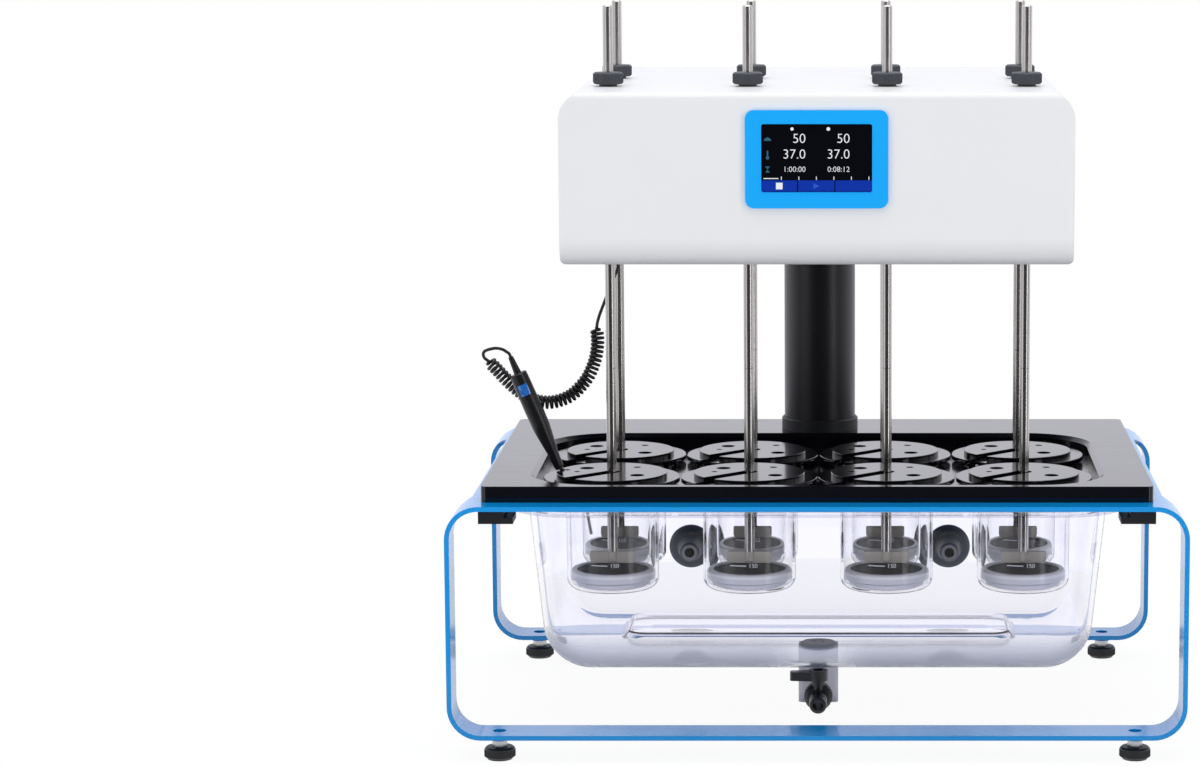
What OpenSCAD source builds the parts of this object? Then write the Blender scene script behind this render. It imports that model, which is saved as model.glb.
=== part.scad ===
// Eight-position dissolution tester: a lifting drive head turns eight paddles in
// glass vessels that hang from a black deck into a clear, circulated water bath.
// Origin: middle of the footprint, at the bench. +X right, +Y to the rear, +Z up.

/* [Positions] */
// Distance between neighbouring vessel positions
pitch = 130; // [126:1:150]

/* [Leg frame] */
// Depth of the bent sheet frame, front edge to rear edge
frame_d = 472; // [460:1:520]
// Height of the top sheet's upper face above the bench
frame_top = 241; // [225:1:270]
// Height of the lower bars' underside above the bench
frame_bottom = 22; // [20:0.5:40]
// Thickness of the painted sheet
sheet_t = 4.5; // [3:0.5:6]
// Outer radius of the four bends
bend_r = 31; // [20:1:45]
// Depth of the front and rear leg strips
strip_d = 42; // [34:1:60]
// Radius at the top corners of the side cut-outs
side_cut_r = 32; // [15:1:40]
// Strip of top sheet left in front of the deck
front_ledge = 23; // [12:1:30]
// Flat of the top sheet that shows beside the deck
side_ledge = 0.5; // [0:0.5:10]

/* [Feet] */
// Diameter of a foot pad
foot_d = 28; // [22:1:36]
// Diameter of a foot's threaded stud
stud_d = 11; // [8:0.5:11.5]
// Height of a foot pad
pad_h = 11.7; // [9:0.1:15]
// Distance of a foot from the outer face of the leg
foot_inset = 46.5; // [38:0.5:70]

/* [Deck] */
// Thickness of the deck plate
deck_t = 15; // [12:0.5:20]
// Deck beside the pocket, left and right
deck_side = 45; // [40:1:60]
// Deck in front of the pocket
deck_front = 12.5; // [8:0.5:20]
// Deck behind the pocket, which carries the column
deck_rear = 95.5; // [88:0.5:120]
// Space between the lids and the pocket's sides
pocket_side = 5.5; // [3:0.5:12]
// Space between the lids and the pocket's front and rear
pocket_end = 19; // [10:0.5:24]
// Depth of the pocket below the deck's top
pocket_depth = 14.5; // [12:0.5:16]
// Thickness of the pocket's floor
floor_t = 7.5; // [5:0.5:9]
// Radius of the pocket's corners
pocket_r = 62; // [40:1:75]
// Width of the chamfer round the pocket
pocket_chamfer = 4; // [2:0.5:6]

/* [Bath tank] */
// Height of the tank's underside above the bench
tank_bottom = 72.5; // [66:0.5:90]
// Wall of the tank
tank_wall = 3.5; // [2.5:0.5:5]
// Lean of the front and side walls, in degrees
tank_draft = 5.5; // [3:0.5:8]
// Radius between the walls and the tank's floor
tank_r = 46; // [30:1:46]
// Width of the tank's rim outside its walls
rim_w = 17; // [15:0.5:19]
// Thickness of the tank's rim
rim_t = 5; // [3:0.5:6]
// Thickness of the rim's rubber seal
seal_t = 3; // [2:0.5:4]
// Height of the raised rib on the tank's floor
rib_h = 8; // [4:0.5:12]
// Length of the raised rib
rib_l = 376; // [300:1:400]

/* [Vessels] */
// Outer diameter of a glass vessel
vessel_d = 88; // [80:1:92]
// Wall of a glass vessel
vessel_wall = 2.5; // [1.5:0.25:3.5]
// Height of a vessel's underside above the bench
vessel_bottom = 143; // [130:1:155]
// Diameter of a vessel's rim
vessel_rim_d = 112; // [106:1:118]
// Thickness of a vessel's rim
vessel_rim_t = 3.5; // [3:0.25:4.5]
// Height of a disc holder inside a vessel
holder_h = 16; // [13:0.5:18]

/* [Lids] */
// Diameter of a lid
lid_d = 129; // [120:1:129]
// Diameter of a lid's raised disc
lid_disc_d = 105; // [90:1:112]
// Thickness of a lid's flange
lid_flange_t = 4.1; // [3:0.1:5]
// Height of a lid's raised disc above its flange
lid_disc_t = 4.3; // [3:0.1:5]
// Width of the slot that lets a lid pass its shaft
lid_slot = 14; // [12:0.5:18]
// Diameter of the two sampling ports
port_d = 13.5; // [10:0.5:15]

/* [Paddles] */
// Diameter of a paddle shaft
shaft_d = 9.5; // [9.4:0.05:10.1]
// Height of the shafts' tops above the bench
shaft_top = 693; // [670:1:720]
// Height of the screw joint between a shaft's two parts
shaft_joint = 353; // [300:1:420]
// Width of a blade
blade_w = 43; // [36:1:50]
// Height of a blade
blade_h = 11; // [8:0.5:14]
// Thickness of a blade
blade_t = 4; // [3:0.5:5]
// Height of a blade's lower edge above the bench
blade_bottom = 166.5; // [164:0.5:185]

/* [Head] */
// Height of the head's underside above the bench
head_bottom = 459; // [440:1:480]
// Height of the head
head_h = 159; // [150:1:180]
// Head beyond the outer shafts, left and right
head_side = 39.5; // [35:0.5:60]
// Head in front of the front row
head_front = 97; // [85:1:120]
// Head behind the column's axis
head_rear = 73; // [60:1:90]
// Wall of the head's shell
shell_t = 3; // [2:0.5:4]
// Radius of the head's upper side edges
head_top_r = 25; // [12:1:40]
// Radius of the head's lower front edge
head_front_r = 25; // [12:1:34]
// Radius of the head's other edges
head_edge_r = 6; // [4:0.5:10]

/* [Display] */
// Width of the blue bezel
bezel_w = 130; // [120:1:150]
// Height of the blue bezel
bezel_h = 89; // [80:1:100]
// Thickness of the bezel in front of the shell
bezel_t = 3.5; // [2:0.5:6]
// Width of the bezel's window
screen_w = 100.6; // [90:0.2:110]
// Height of the bezel's window
screen_h = 62; // [54:1:70]
// Height of the bezel's middle above the head's underside
bezel_up = 98.6; // [90:0.2:105]

/* [Drive] */
// Outer diameter of a drive spindle
spindle_d = 17; // [15:0.5:19]
// Diameter of a chuck nut
chuck_d = 27.7; // [24:0.1:32]
// Height of a chuck nut
chuck_h = 11; // [8:0.5:14]
// Diameter of a spindle pulley
pulley_d = 40; // [34:1:46]
// Diameter of the motor pulley
motor_pulley_d = 24; // [18:1:30]
// Thickness of the drive belt
belt_t = 3; // [2:0.5:4]
// Width of the drive belt
belt_w = 12; // [8:1:14]

/* [Lift] */
// Diameter of the lift column
column_d = 71.5; // [64:0.5:80]
// Wall of the lift column
column_wall = 4.75; // [3:0.25:6]
// Diameter of the lift actuator's rod
rod_d = 14; // [10:1:18]

/* [Drain] */
// Width of the drain block
drain_w = 38; // [32:1:46]
// Height of the drain block's underside above the bench
drain_bottom = 24.5; // [18:0.5:25]
// Distance of the drain behind the tank's front wall
drain_back = 131; // [115:1:150]
// Height of the drain valve's axis above the bench
valve_z = 32.5; // [32:0.5:36]
// Diameter of the drain valve's union nut
valve_nut_d = 26; // [22:1:30]
// Outer diameter of the drain nozzle
nozzle_d = 16; // [12:0.5:18]
// Bore of the drain nozzle
nozzle_bore = 10; // [8:0.5:11]
// Length of the drain nozzle
nozzle_l = 33; // [24:1:40]
// Length of the valve lever from its axis
lever_l = 27; // [22:1:36]

/* [Bath couplings] */
// Diameter of a coupling's inner flange
coupling_d = 43.5; // [36:0.5:48]
// Height of the couplings' axes above the bench
coupling_z = 141.5; // [141:0.5:160]
// Length of a coupling's jet inside the bath
jet_l = 32; // [20:1:36]
// Bore of a coupling
coupling_bore = 9.5; // [8:0.5:11]
// Outer diameter of a coupling's hose tail
tail_d = 16; // [14:0.5:18]
// Length of a coupling's hose tail
tail_l = 26; // [18:1:36]

/* [Probe] */
// Length of the probe's handle
handle_l = 97; // [80:1:110]
// Largest diameter of the probe's handle
handle_d = 17.6; // [14:0.2:18]
// Lean of the probe's handle, in degrees
handle_lean = 23; // [20:0.5:26]
// Diameter of the probe's sheath
sheath_d = 3; // [2:0.5:4]
// Diameter of the curly cord's wire
cord_d = 3; // [2.6:0.1:3.1]
// Outer diameter of the cord's curls
curl_d = 13.4; // [11:0.1:13.8]
// Distance from curl to curl
curl_pitch = 4.1; // [4.1:0.1:6]

/* [Hidden] */
$fn = 64;
hull_fn = 48;
columns = 4;
rows = 2;
run_gap = 0.05;
slide_gap = 0.08;
seat_gap = 0.2;
turn_gap = 0.3;
over = 1;

// Pocket, deck and frame, worked out from the vessel positions
pocket_hw = (columns - 1) / 2 * pitch + lid_d / 2 + pocket_side;
pocket_hd = (rows - 1) / 2 * pitch + lid_d / 2 + pocket_end;
deck_w = 2 * (pocket_hw + deck_side);
frame_w = deck_w + 2 * (side_ledge + bend_r);
frame_h = frame_top - frame_bottom;
deck_y0 = -frame_d / 2 + front_ledge;
deck_y1 = deck_y0 + deck_front + 2 * pocket_hd + deck_rear;
group_y = deck_y0 + deck_front + pocket_hd;
deck_top = frame_top + deck_t;
pocket_z = deck_top - pocket_depth;
floor_z = pocket_z - floor_t;
opening_gap = 1;
boss_grow = 2;
side_cut_x = frame_w / 2 - bend_r + 11.5;
side_cut_top = frame_top - 2;

function spot_x(i) = (i % columns - (columns - 1) / 2) * pitch;
function spot_y(i) = group_y + (floor(i / columns) - (rows - 1) / 2) * pitch;
spots = [0 : columns * rows - 1];

// Levels of what stands in the pocket
rim_z = pocket_z + vessel_rim_t;
lid_z = rim_z + seat_gap;
lid_disc_z = lid_z + lid_flange_t;
lid_top = lid_disc_z + lid_disc_t;
vessel_in_r = vessel_d / 2 - vessel_wall;
holder_z = vessel_bottom + vessel_wall + run_gap;
holder_top = holder_z + holder_h;

// Tank outline at its rim
tank_hw = pocket_hw + 5.3;
tank_y0 = group_y - pocket_hd - 5.5;
tank_y1 = group_y + pocket_hd + 4;
tank_top = frame_top - sheet_t - seal_t;
tank_corner_r = 45;
tank_floor = tank_bottom + tank_wall;
ball_z = tank_bottom + tank_r;
wall_run = (tank_top - ball_z) * tan(tank_draft);
ball_x = tank_hw - wall_run - tank_r / cos(tank_draft);
ball_y0 = tank_y0 + wall_run + tank_r / cos(tank_draft);
ball_y1 = tank_y1 - tank_r;

// Feet
foot_x = frame_w / 2 - foot_inset;
foot_y = frame_d / 2 - strip_d / 2;
weld_nut_d = 18;
weld_nut_h = 3.7;
foot_well_d = 12.5;
foot_well_h = 2.5;

// Head, spindles and drive
column_y = group_y + pocket_hd + 6.75 + column_d / 2;
head_hw = (columns - 1) / 2 * pitch + head_side;
head_y0 = spot_y(0) - head_front;
head_y1 = column_y + head_rear;
head_top = head_bottom + head_h;
plate_t = 4;
plate_z = head_bottom + shell_t;
plate_top = plate_z + plate_t;
head_lip = 19.5;
bearing_h = 20;
belt_z = plate_top + bearing_h + 9;
flange_h = 2;
pulley_r = pulley_d / 2;
pulley_flange_r = pulley_r + 2.5;
chuck_z = head_top + 2;
chuck_edge = 1.2;
motor_w = 57;
motor_h = 56;
motor_post_d = 8;
motor_y = spot_y(columns) + pulley_r - motor_pulley_d / 2;
motor_z = belt_z + belt_w + 13;
motor_shaft_d = 8;
rotor_d = 34;
rotor_end = 9;
bezel_z = head_bottom + bezel_up;
screen_z = bezel_z + 1;
inlet_x = 150;
inlet_z = head_bottom + 41;
inlet_w = 28;
inlet_h = 21;
panel_t = 6;
panel_frame = 5;
board_gap = 8;

// Lift
column_top = head_bottom - 2;
collar_h = 12;
collar_t = 2.7;
ram_r = column_d / 2 - column_wall - slide_gap;
ram_wall = 5.9;
ram_end = deck_top + 7;
ram_flange_r = ram_r + 9;
actuator_d = 36;
rod_flange_t = 5;
rod_flange_d = rod_d + 12;
rod_shown = 41;
actuator_top = plate_z - rod_flange_t - rod_shown;
rod_end = deck_top + 6;

// Drain and couplings
drain_y = tank_y0 + drain_back;
strainer_d = 36;
strainer_h = 3;
drain_hole_d = 20;
valve_face = drain_y - drain_w / 2;
nut_l = 15;
lever_hub_d = 18;
lever_y = valve_face - lever_hub_d / 2 - 1.5;
lever_z = valve_z + valve_nut_d / 2 + 3.3;
lever_h = 10;
lever_pin_d = 6;
coupling_x = pitch;

// Probe, hung in the first lid
probe_x = spot_x(0);
probe_y = spot_y(0) + 10;
tip_x = probe_x - 51;
tip_z = lid_top + 3.4;
boot_l = 17;
cord_gap = 0.1;
mouth_x = probe_x - 37.5;
mouth_z = lid_z + 1.3;
axis_x = -sin(handle_lean);
axis_z = cos(handle_lean);
boot_x = tip_x + (handle_l + boot_l) * axis_x;
boot_z = tip_z + (handle_l + boot_l) * axis_z;
socket_x = -192;
socket_y = -52;
socket_d = 14;
socket_z = head_bottom - 13;

// Route of the probe's cord, from its socket under the head to the handle's boot
lead_in = [[socket_x, socket_y, socket_z], [socket_x, socket_y, socket_z - 6],
  [-197, -53, 428], [-204, -56, 410], [-210, -59, 394]];
curl_route = [[-212, -61, 384], [-211, -64, 372], [-212, -67, 360], [-215, -70, 349],
  [-220, -74, 338], [-228, -77, 328], [-236, -79, 321], [-245, -81, 317], [-255, -83, 315],
  [-266, -85, 316], [-276, -87, 320], [-285, -90, 327], [-294, -93, 336], [-302, -95, 345],
  [-308, -97, 352]];
lead_out = [[-313, -98, 357], [-316, -100, 360], [-317, -101, 364], [-315, -103, 367],
  [-310, -105, 369], [-304, -106, 370], [-298, -107, 369], [-294, probe_y, 366.5],
  [boot_x + 3.4 * axis_x, probe_y, boot_z + 3.4 * axis_z],
  [boot_x + cord_gap * axis_x, probe_y, boot_z + cord_gap * axis_z]];
cord_route = concat(lead_in, curl_route, lead_out);

// Rectangle with four equal round corners, centred
module rounded_rect(w, d, r) {
  square([w - 2 * r, d], center = true);
  square([w, d - 2 * r], center = true);
  for (x = [-1, 1], y = [-1, 1])
    translate([x * (w / 2 - r), y * (d / 2 - r)]) circle(r);
}

// Rectangle whose corners have their own radii: lower left, lower right, upper right, upper left
module shaped_rect(w, h, radii) {
  sides = [[-1, -1], [1, -1], [1, 1], [-1, 1]];
  difference() {
    square([w, h], center = true);
    for (i = [0 : 3]) let (r = radii[i], s = sides[i])
      translate([s[0] * (w / 2 - r), s[1] * (h / 2 - r)]) difference() {
        translate([s[0] > 0 ? 0 : -r - over, s[1] > 0 ? 0 : -r - over])
          square(r + over);
        circle(r);
      }
  }
}

// Stand a flat outline up so that its Y becomes Z and its depth runs along +Y
module along_y(depth) { rotate([90, 0, 0]) mirror([0, 0, 1]) linear_extrude(depth) children(); }

// Stand a flat outline up so that its X becomes Y, its Y becomes Z and its depth runs along +X
module along_x(depth) { rotate([90, 0, 90]) linear_extrude(depth) children(); }

module at_spots() { for (i = spots) translate([spot_x(i), spot_y(i), 0]) children(); }

module at_feet() {
  for (x = [-1, 1], y = [-1, 1]) translate([x * foot_x, y * foot_y, 0]) children();
}

// Bent sheet frame: two leg loops and the top sheet in one piece
module leg_frame() {
  mid_z = (frame_top + frame_bottom) / 2;
  cut_hd = frame_d / 2 - strip_d;
  color("#1590e8") difference() {
    union() {
      translate([0, -frame_d / 2, mid_z]) along_y(frame_d) difference() {
        rounded_rect(frame_w, frame_h, bend_r);
        rounded_rect(frame_w - 2 * sheet_t, frame_h - 2 * sheet_t, bend_r - sheet_t);
      }
      at_feet() translate([0, 0, frame_bottom - weld_nut_h])
        cylinder(d = weld_nut_d, h = weld_nut_h + sheet_t / 2);
    }
    translate([-frame_w / 2 - over, -cut_hd, frame_bottom - over])
      cube([frame_w + 2 * over, 2 * cut_hd, bend_r]);
    for (side = [0, 1]) mirror([side, 0, 0])
      translate([side_cut_x, 0, (side_cut_top + frame_bottom) / 2]) along_x(bend_r)
        shaped_rect(2 * cut_hd, side_cut_top - frame_bottom, [1, 1, side_cut_r, side_cut_r]);
    translate([0, group_y, frame_top - sheet_t - over]) linear_extrude(sheet_t + 2 * over)
      rounded_rect(2 * (pocket_hw + boss_grow + opening_gap), 2 * (pocket_hd + boss_grow + opening_gap),
        pocket_r + boss_grow + opening_gap);
    at_feet() {
      translate([0, 0, frame_bottom - weld_nut_h - over])
        cylinder(d = stud_d + 2 * run_gap, h = weld_nut_h + sheet_t + 2 * over);
      translate([0, 0, frame_bottom + sheet_t - foot_well_h])
        cylinder(d = foot_well_d, h = foot_well_h + over);
    }
  }
}

// Levelling foot: pad, hexagon and threaded stud
module foot(x, y) {
  hex_top = frame_bottom - weld_nut_h - turn_gap;
  pad_r = foot_d / 2;
  color("#1b1c20") translate([x * foot_x, y * foot_y, 0]) {
    rotate_extrude() polygon([[0, 0], [pad_r - 2.5, 0], [pad_r - 1.5, 1.5], [pad_r, 2.5],
      [pad_r, pad_h - 1.5], [pad_r - 1.5, pad_h], [0, pad_h]]);
    cylinder(d = 14, h = hex_top, $fn = 6);
    cylinder(d = stud_d, h = frame_bottom + sheet_t - foot_well_h);
  }
}

// Deck plate with its chamfered pocket and the holes that the vessels hang in
module deck_plate() {
  color("#0c0d14") difference() {
    union() {
      translate([0, (deck_y0 + deck_y1) / 2, frame_top]) linear_extrude(deck_t)
        rounded_rect(deck_w, deck_y1 - deck_y0, 6);
      translate([0, group_y, floor_z]) linear_extrude(frame_top - floor_z + over)
        rounded_rect(2 * (pocket_hw + boss_grow), 2 * (pocket_hd + boss_grow), pocket_r + boss_grow);
    }
    translate([0, group_y, pocket_z]) linear_extrude(pocket_depth + over)
      rounded_rect(2 * pocket_hw, 2 * pocket_hd, pocket_r);
    translate([0, group_y, 0]) hull() {
      translate([0, 0, deck_top - pocket_chamfer]) linear_extrude(0.01)
        rounded_rect(2 * pocket_hw, 2 * pocket_hd, pocket_r, $fn = 128);
      translate([0, 0, deck_top]) linear_extrude(0.01)
        rounded_rect(2 * (pocket_hw + pocket_chamfer), 2 * (pocket_hd + pocket_chamfer),
          pocket_r + pocket_chamfer, $fn = 128);
    }
    at_spots() translate([0, 0, floor_z - over])
      cylinder(d = vessel_d + 4, h = floor_t + 2 * over);
  }
}

// Corner clips that hold the tank's rim up under the top sheet
module tank_clips() {
  clip_d = 34;
  clip_w = 32;
  clip_x = tank_hw + 9;
  ledge_x = tank_hw + rim_w + turn_gap;
  color("#141519") for (x = [0, 1]) mirror([x, 0, 0])
    for (y = [tank_y0 - rim_w - 1, tank_y1 + rim_w + 1 - clip_d]) difference() {
      translate([clip_x, y, tank_top - rim_t - 5.5])
        cube([clip_w, clip_d, seal_t + rim_t + 5.5]);
      translate([clip_x - over, y - over, tank_top - rim_t])
        cube([ledge_x - clip_x + over, clip_d + 2 * over, seal_t + rim_t + over]);
    }
}

// Flat outline of the tank at its rim, grown by g
module tank_outline(g) {
  translate([0, (tank_y0 + tank_y1) / 2])
    rounded_rect(2 * (tank_hw + g), tank_y1 - tank_y0 + 2 * g, tank_corner_r + g);
}

// Rubber seal between the tank's rim and the top sheet
module tank_rim_seal() {
  color("#2a2a2e") translate([0, 0, tank_top]) linear_extrude(seal_t) difference() {
    tank_outline(rim_w - 1);
    tank_outline(1);
  }
}

// Ball whose poles and equator lie on its true radius
module ball(r) {
  rotate_extrude($fn = hull_fn) intersection() {
    circle(r, $fn = hull_fn);
    translate([0, -r]) square([r, 2 * r]);
  }
}

// Tank body with its walls set in by s and its rim raised by rise
module tank_body(s, rise) {
  lean = s / cos(tank_draft) - rise * tan(tank_draft);
  hull() {
    for (x = [-1, 1]) {
      translate([x * ball_x, ball_y0, ball_z]) ball(tank_r - s);
      translate([x * ball_x, ball_y1, ball_z]) ball(tank_r - s);
      for (y = [tank_y0 + lean + tank_corner_r - s, tank_y1 - s - tank_corner_r + s])
        translate([x * (tank_hw - lean - tank_corner_r + s), y, tank_top + rise - 0.01])
          cylinder(r = tank_corner_r - s, h = 0.01, $fn = hull_fn);
    }
  }
}

// Clear moulded bath tank with rim, floor rib, drain hole and coupling holes
module bath_tank() {
  rib_w = 104;
  color("#dfe6ee", 0.4) difference() {
    union() {
      tank_body(0, 0);
      translate([0, 0, tank_top - rim_t]) linear_extrude(rim_t) tank_outline(rim_w);
    }
    difference() {
      tank_body(tank_wall, over);
      translate([0, group_y + 49, tank_bottom]) linear_extrude(tank_wall + rib_h)
        rounded_rect(rib_l, rib_w, 20);
    }
    translate([0, drain_y, tank_bottom - over]) cylinder(d = drain_hole_d, h = tank_wall + 2 * over);
    for (x = [-1, 1]) translate([x * coupling_x, tank_y1 - tank_wall - 2 * over, coupling_z])
      rotate([-90, 0, 0]) cylinder(d = 21, h = tank_wall + 4 * over);
  }
}

// Flat-bottomed cup profile, from its axis to radius r, with round lower corner c
module cup_profile(r, c, z0, z1) {
  translate([0, z0]) {
    square([r - c, z1 - z0]);
    translate([0, c]) square([r, z1 - z0 - c]);
    translate([r - c, c]) circle(c);
  }
}

// Eight flat-bottomed glass vessels with hanging rims
module glass_vessels() {
  corner = 10;
  color("#e8f0f4", 0.4) at_spots() rotate_extrude() difference() {
    union() {
      cup_profile(vessel_d / 2, corner, vessel_bottom, rim_z);
      translate([0, pocket_z]) square([vessel_rim_d / 2, vessel_rim_t]);
    }
    cup_profile(vessel_in_r, corner - vessel_wall, vessel_bottom + vessel_wall, rim_z + over);
  }
}

// Clamp rings that hold the sample discs on the vessels' floors
module disc_holders() {
  outer = vessel_in_r - 1;
  inner = outer - 6;
  color("#f2f2f0") at_spots() rotate_extrude() polygon([
    [inner - 4.5, holder_z], [inner - 0.5, holder_z], [inner + 1, holder_z + 1.5],
    [inner + 1, holder_z + 5], [outer, holder_z + 7.5],
    [outer, holder_top - 1.5], [outer - 1.5, holder_top], [inner, holder_top],
    [inner, holder_top - 2.6], [inner - 4.5, holder_top - 2.6]]);
}

// Perforated steel discs clamped in the holders
module disc_meshes() {
  color("#4a4b50") at_spots() translate([0, 0, holder_top - 2.6])
    cylinder(r = vessel_in_r - 7 - run_gap, h = 1.2);
}

// Outer tube of the lift column
module lift_column() {
  color("#16171c") translate([0, column_y, deck_top]) difference() {
    cylinder(d = column_d, h = column_top - deck_top);
    translate([0, 0, -over])
      cylinder(d = column_d - 2 * column_wall, h = column_top - deck_top + 2 * over);
  }
}

// Ring that trims the column's foot on the deck
module column_collar() {
  color("#121318") translate([0, column_y, deck_top]) difference() {
    rotate_extrude() polygon([[0, 0], [column_d / 2 + collar_t, 0],
      [column_d / 2 + collar_t, collar_h - 1.5], [column_d / 2 + collar_t - 1.5, collar_h], [0, collar_h]]);
    translate([0, 0, -over]) cylinder(d = column_d + 2 * run_gap, h = collar_h + 2 * over);
  }
}

// Fixed half of the linear actuator inside the column
module actuator_body() {
  color("#6d7077") translate([0, column_y, deck_top]) difference() {
    cylinder(d = actuator_d, h = actuator_top - deck_top);
    translate([0, 0, 4])
      cylinder(d = rod_d + 2 * run_gap, h = actuator_top - deck_top);
  }
}

// Moving rod of the linear actuator, fixed under the head's base plate
module actuator_rod() {
  color("#c8cad0") translate([0, column_y, 0]) {
    translate([0, 0, rod_end]) cylinder(d = rod_d, h = plate_z - rod_end);
    translate([0, 0, plate_z - rod_flange_t]) cylinder(d = rod_flange_d, h = rod_flange_t);
  }
}

// Inner tube of the lift, which slides in the column and carries the head
module lift_ram() {
  color("#8d9098") translate([0, column_y, 0]) difference() {
    union() {
      translate([0, 0, ram_end]) cylinder(r = ram_r, h = plate_z - ram_end);
      translate([0, 0, plate_z - shell_t]) cylinder(r = ram_flange_r, h = shell_t);
    }
    translate([0, 0, ram_end - over]) cylinder(r = ram_r - ram_wall, h = plate_z - ram_end + 2 * over);
  }
}

// Frosted block under the tank that turns the drain to the front
module drain_block() {
  color("#b9bcc4", 0.8) difference() {
    translate([0, drain_y, drain_bottom]) linear_extrude(tank_bottom - drain_bottom)
      rounded_rect(drain_w, drain_w, 5);
    translate([0, drain_y, valve_z]) cylinder(d = nozzle_bore + 4, h = tank_bottom);
    translate([0, drain_y, valve_z]) rotate([90, 0, 0]) cylinder(d = nozzle_bore, h = drain_w);
  }
}

// Strainer on the tank's floor, with the neck that goes through it
module drain_strainer() {
  holes = 8;
  hole_d = 4;
  neck_r = drain_hole_d / 2 - 0.25;
  color("#25262c") translate([0, drain_y, 0]) difference() {
    union() {
      translate([0, 0, tank_floor]) rotate_extrude()
        polygon([[0, 0], [strainer_d / 2, 0], [strainer_d / 2, 1.2], [strainer_d / 2 - 3, strainer_h],
          [0, strainer_h]]);
      translate([0, 0, tank_bottom]) cylinder(r = neck_r, h = tank_wall + 1);
    }
    translate([0, 0, tank_bottom - over]) cylinder(r = neck_r - 2.5, h = tank_wall + over);
    for (i = [0 : holes - 1]) rotate(i * 360 / holes) translate([5, 0, tank_bottom])
      cylinder(d = hole_d - 1, h = tank_wall + strainer_h + over);
  }
}

// Drain valve: union nut, hose nozzle and the boss that the lever turns in
module drain_valve() {
  nut_r = valve_nut_d / 2;
  color("#17181c") difference() {
    union() {
      translate([0, valve_face, valve_z]) rotate([90, 0, 0]) rotate_extrude() polygon([[0, 0],
        [nut_r - 2, 0], [nut_r, 2], [nut_r, nut_l - 2], [nut_r - 2, nut_l],
        [nozzle_d / 2, nut_l], [nozzle_d / 2, nut_l + nozzle_l - 1], [nozzle_d / 2 - 1, nut_l + nozzle_l],
        [0, nut_l + nozzle_l]]);
      translate([0, lever_y, valve_z]) cylinder(d = 12, h = lever_z - turn_gap - valve_z);
    }
    translate([0, valve_face + over, valve_z]) rotate([90, 0, 0])
      cylinder(d = nozzle_bore, h = nut_l + nozzle_l + 2 * over);
    translate([0, lever_y, valve_z + nozzle_bore / 2 + 1.5])
      cylinder(d = lever_pin_d + 2 * run_gap, h = valve_nut_d);
  }
}

// Quarter-turn lever, with its pin in the valve
module drain_lever() {
  pin_z = valve_z + nozzle_bore / 2 + 2;
  color("#23252b") translate([0, lever_y, 0]) {
    translate([0, 0, pin_z]) cylinder(d = lever_pin_d, h = lever_z - pin_z + over);
    translate([0, 0, lever_z]) difference() {
      union() {
        cylinder(d = lever_hub_d, h = lever_h);
        linear_extrude(lever_h - 1.5) polygon([[0, -7], [0, 7], [2 - lever_l, 4.5],
          [-lever_l, 2.5], [-lever_l, -2.5], [2 - lever_l, -4.5]]);
      }
      translate([0, 0, lever_h - 2]) cylinder(d = lever_hub_d - 8, h = 2 + over);
    }
  }
}

// Two through-wall couplings for the circulator's hoses, each with a jet inside the bath
module bath_couplings() {
  flange_t = 6;
  nut_t = 8;
  inner = flange_t + run_gap;
  outer = tank_wall + run_gap;
  color("#3b4250") for (x = [-1, 1])
    translate([x * coupling_x, tank_y1 - tank_wall, coupling_z]) rotate([-90, 0, 0]) difference() {
      rotate_extrude() polygon([[0, -inner - jet_l], [coupling_bore / 2 + 3, -inner - jet_l],
        [coupling_bore / 2 + 5, -inner - jet_l + 3], [coupling_d / 2 - 8, -inner - 3],
        [coupling_d / 2 - 3, -inner], [coupling_d / 2, -inner + 2], [coupling_d / 2, -run_gap],
        [10.2, -run_gap], [10.2, outer], [17, outer], [17, outer + nut_t],
        [tail_d / 2, outer + nut_t + 3], [tail_d / 2, outer + nut_t + 3 + tail_l],
        [tail_d / 2 - 1, outer + nut_t + 4 + tail_l], [0, outer + nut_t + 4 + tail_l]]);
      translate([0, 0, -inner - jet_l - over])
        cylinder(d = coupling_bore, h = inner + jet_l + outer + nut_t + tail_l + 10);
    }
}

// Solid of the head's shape, set in by s on every side
module head_form(s) {
  w = 2 * (head_hw - s);
  d = head_y1 - head_y0 - 2 * s;
  h = head_h - 2 * s;
  side = head_edge_r - s;
  intersection() {
    translate([0, head_y0 + s, head_bottom + s + h / 2]) along_y(d)
      shaped_rect(w, h, [side, side, head_top_r - s, head_top_r - s]);
    translate([-w / 2, head_y0 + s + d / 2, head_bottom + s + h / 2]) along_x(w)
      shaped_rect(d, h, [head_front_r - s, side, side, side]);
  }
}

// Painted shell of the head, open underneath, with holes for the spindles and the display
module head_shell() {
  lip_y0 = head_y0 + head_front_r + 4;
  lip_y1 = head_y1 - head_lip;
  color("#e6e7eb") difference() {
    head_form(0);
    head_form(shell_t);
    translate([-head_hw + head_lip, lip_y0, head_bottom - over])
      cube([2 * (head_hw - head_lip), lip_y1 - lip_y0, shell_t + 2 * over]);
    at_spots() translate([0, 0, head_top - shell_t - over])
      cylinder(d = spindle_d + 2, h = shell_t + 2 * over);
    translate([0, head_y0 - over, screen_z]) along_y(shell_t + 2 * over)
      square([screen_w + 2 * panel_frame + 1, screen_h + 2 * panel_frame + 1], center = true);
    translate([inlet_x, head_y1 - shell_t - over, inlet_z]) along_y(shell_t + 2 * over)
      square([inlet_w + 1, inlet_h + 1], center = true);
  }
}

// Plate inside the head that carries the spindles, the motor and the lift
module head_base_plate() {
  y0 = head_y0 + head_front_r + 1;
  y1 = head_y1 - head_edge_r - 1;
  w = 2 * (head_hw - head_edge_r - 1);
  color("#9a9da5") difference() {
    translate([-w / 2, y0, plate_z]) cube([w, y1 - y0, plate_t]);
    at_spots() translate([0, 0, plate_z - over]) cylinder(d = spindle_d + 3, h = plate_t + 2 * over);
  }
}

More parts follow.
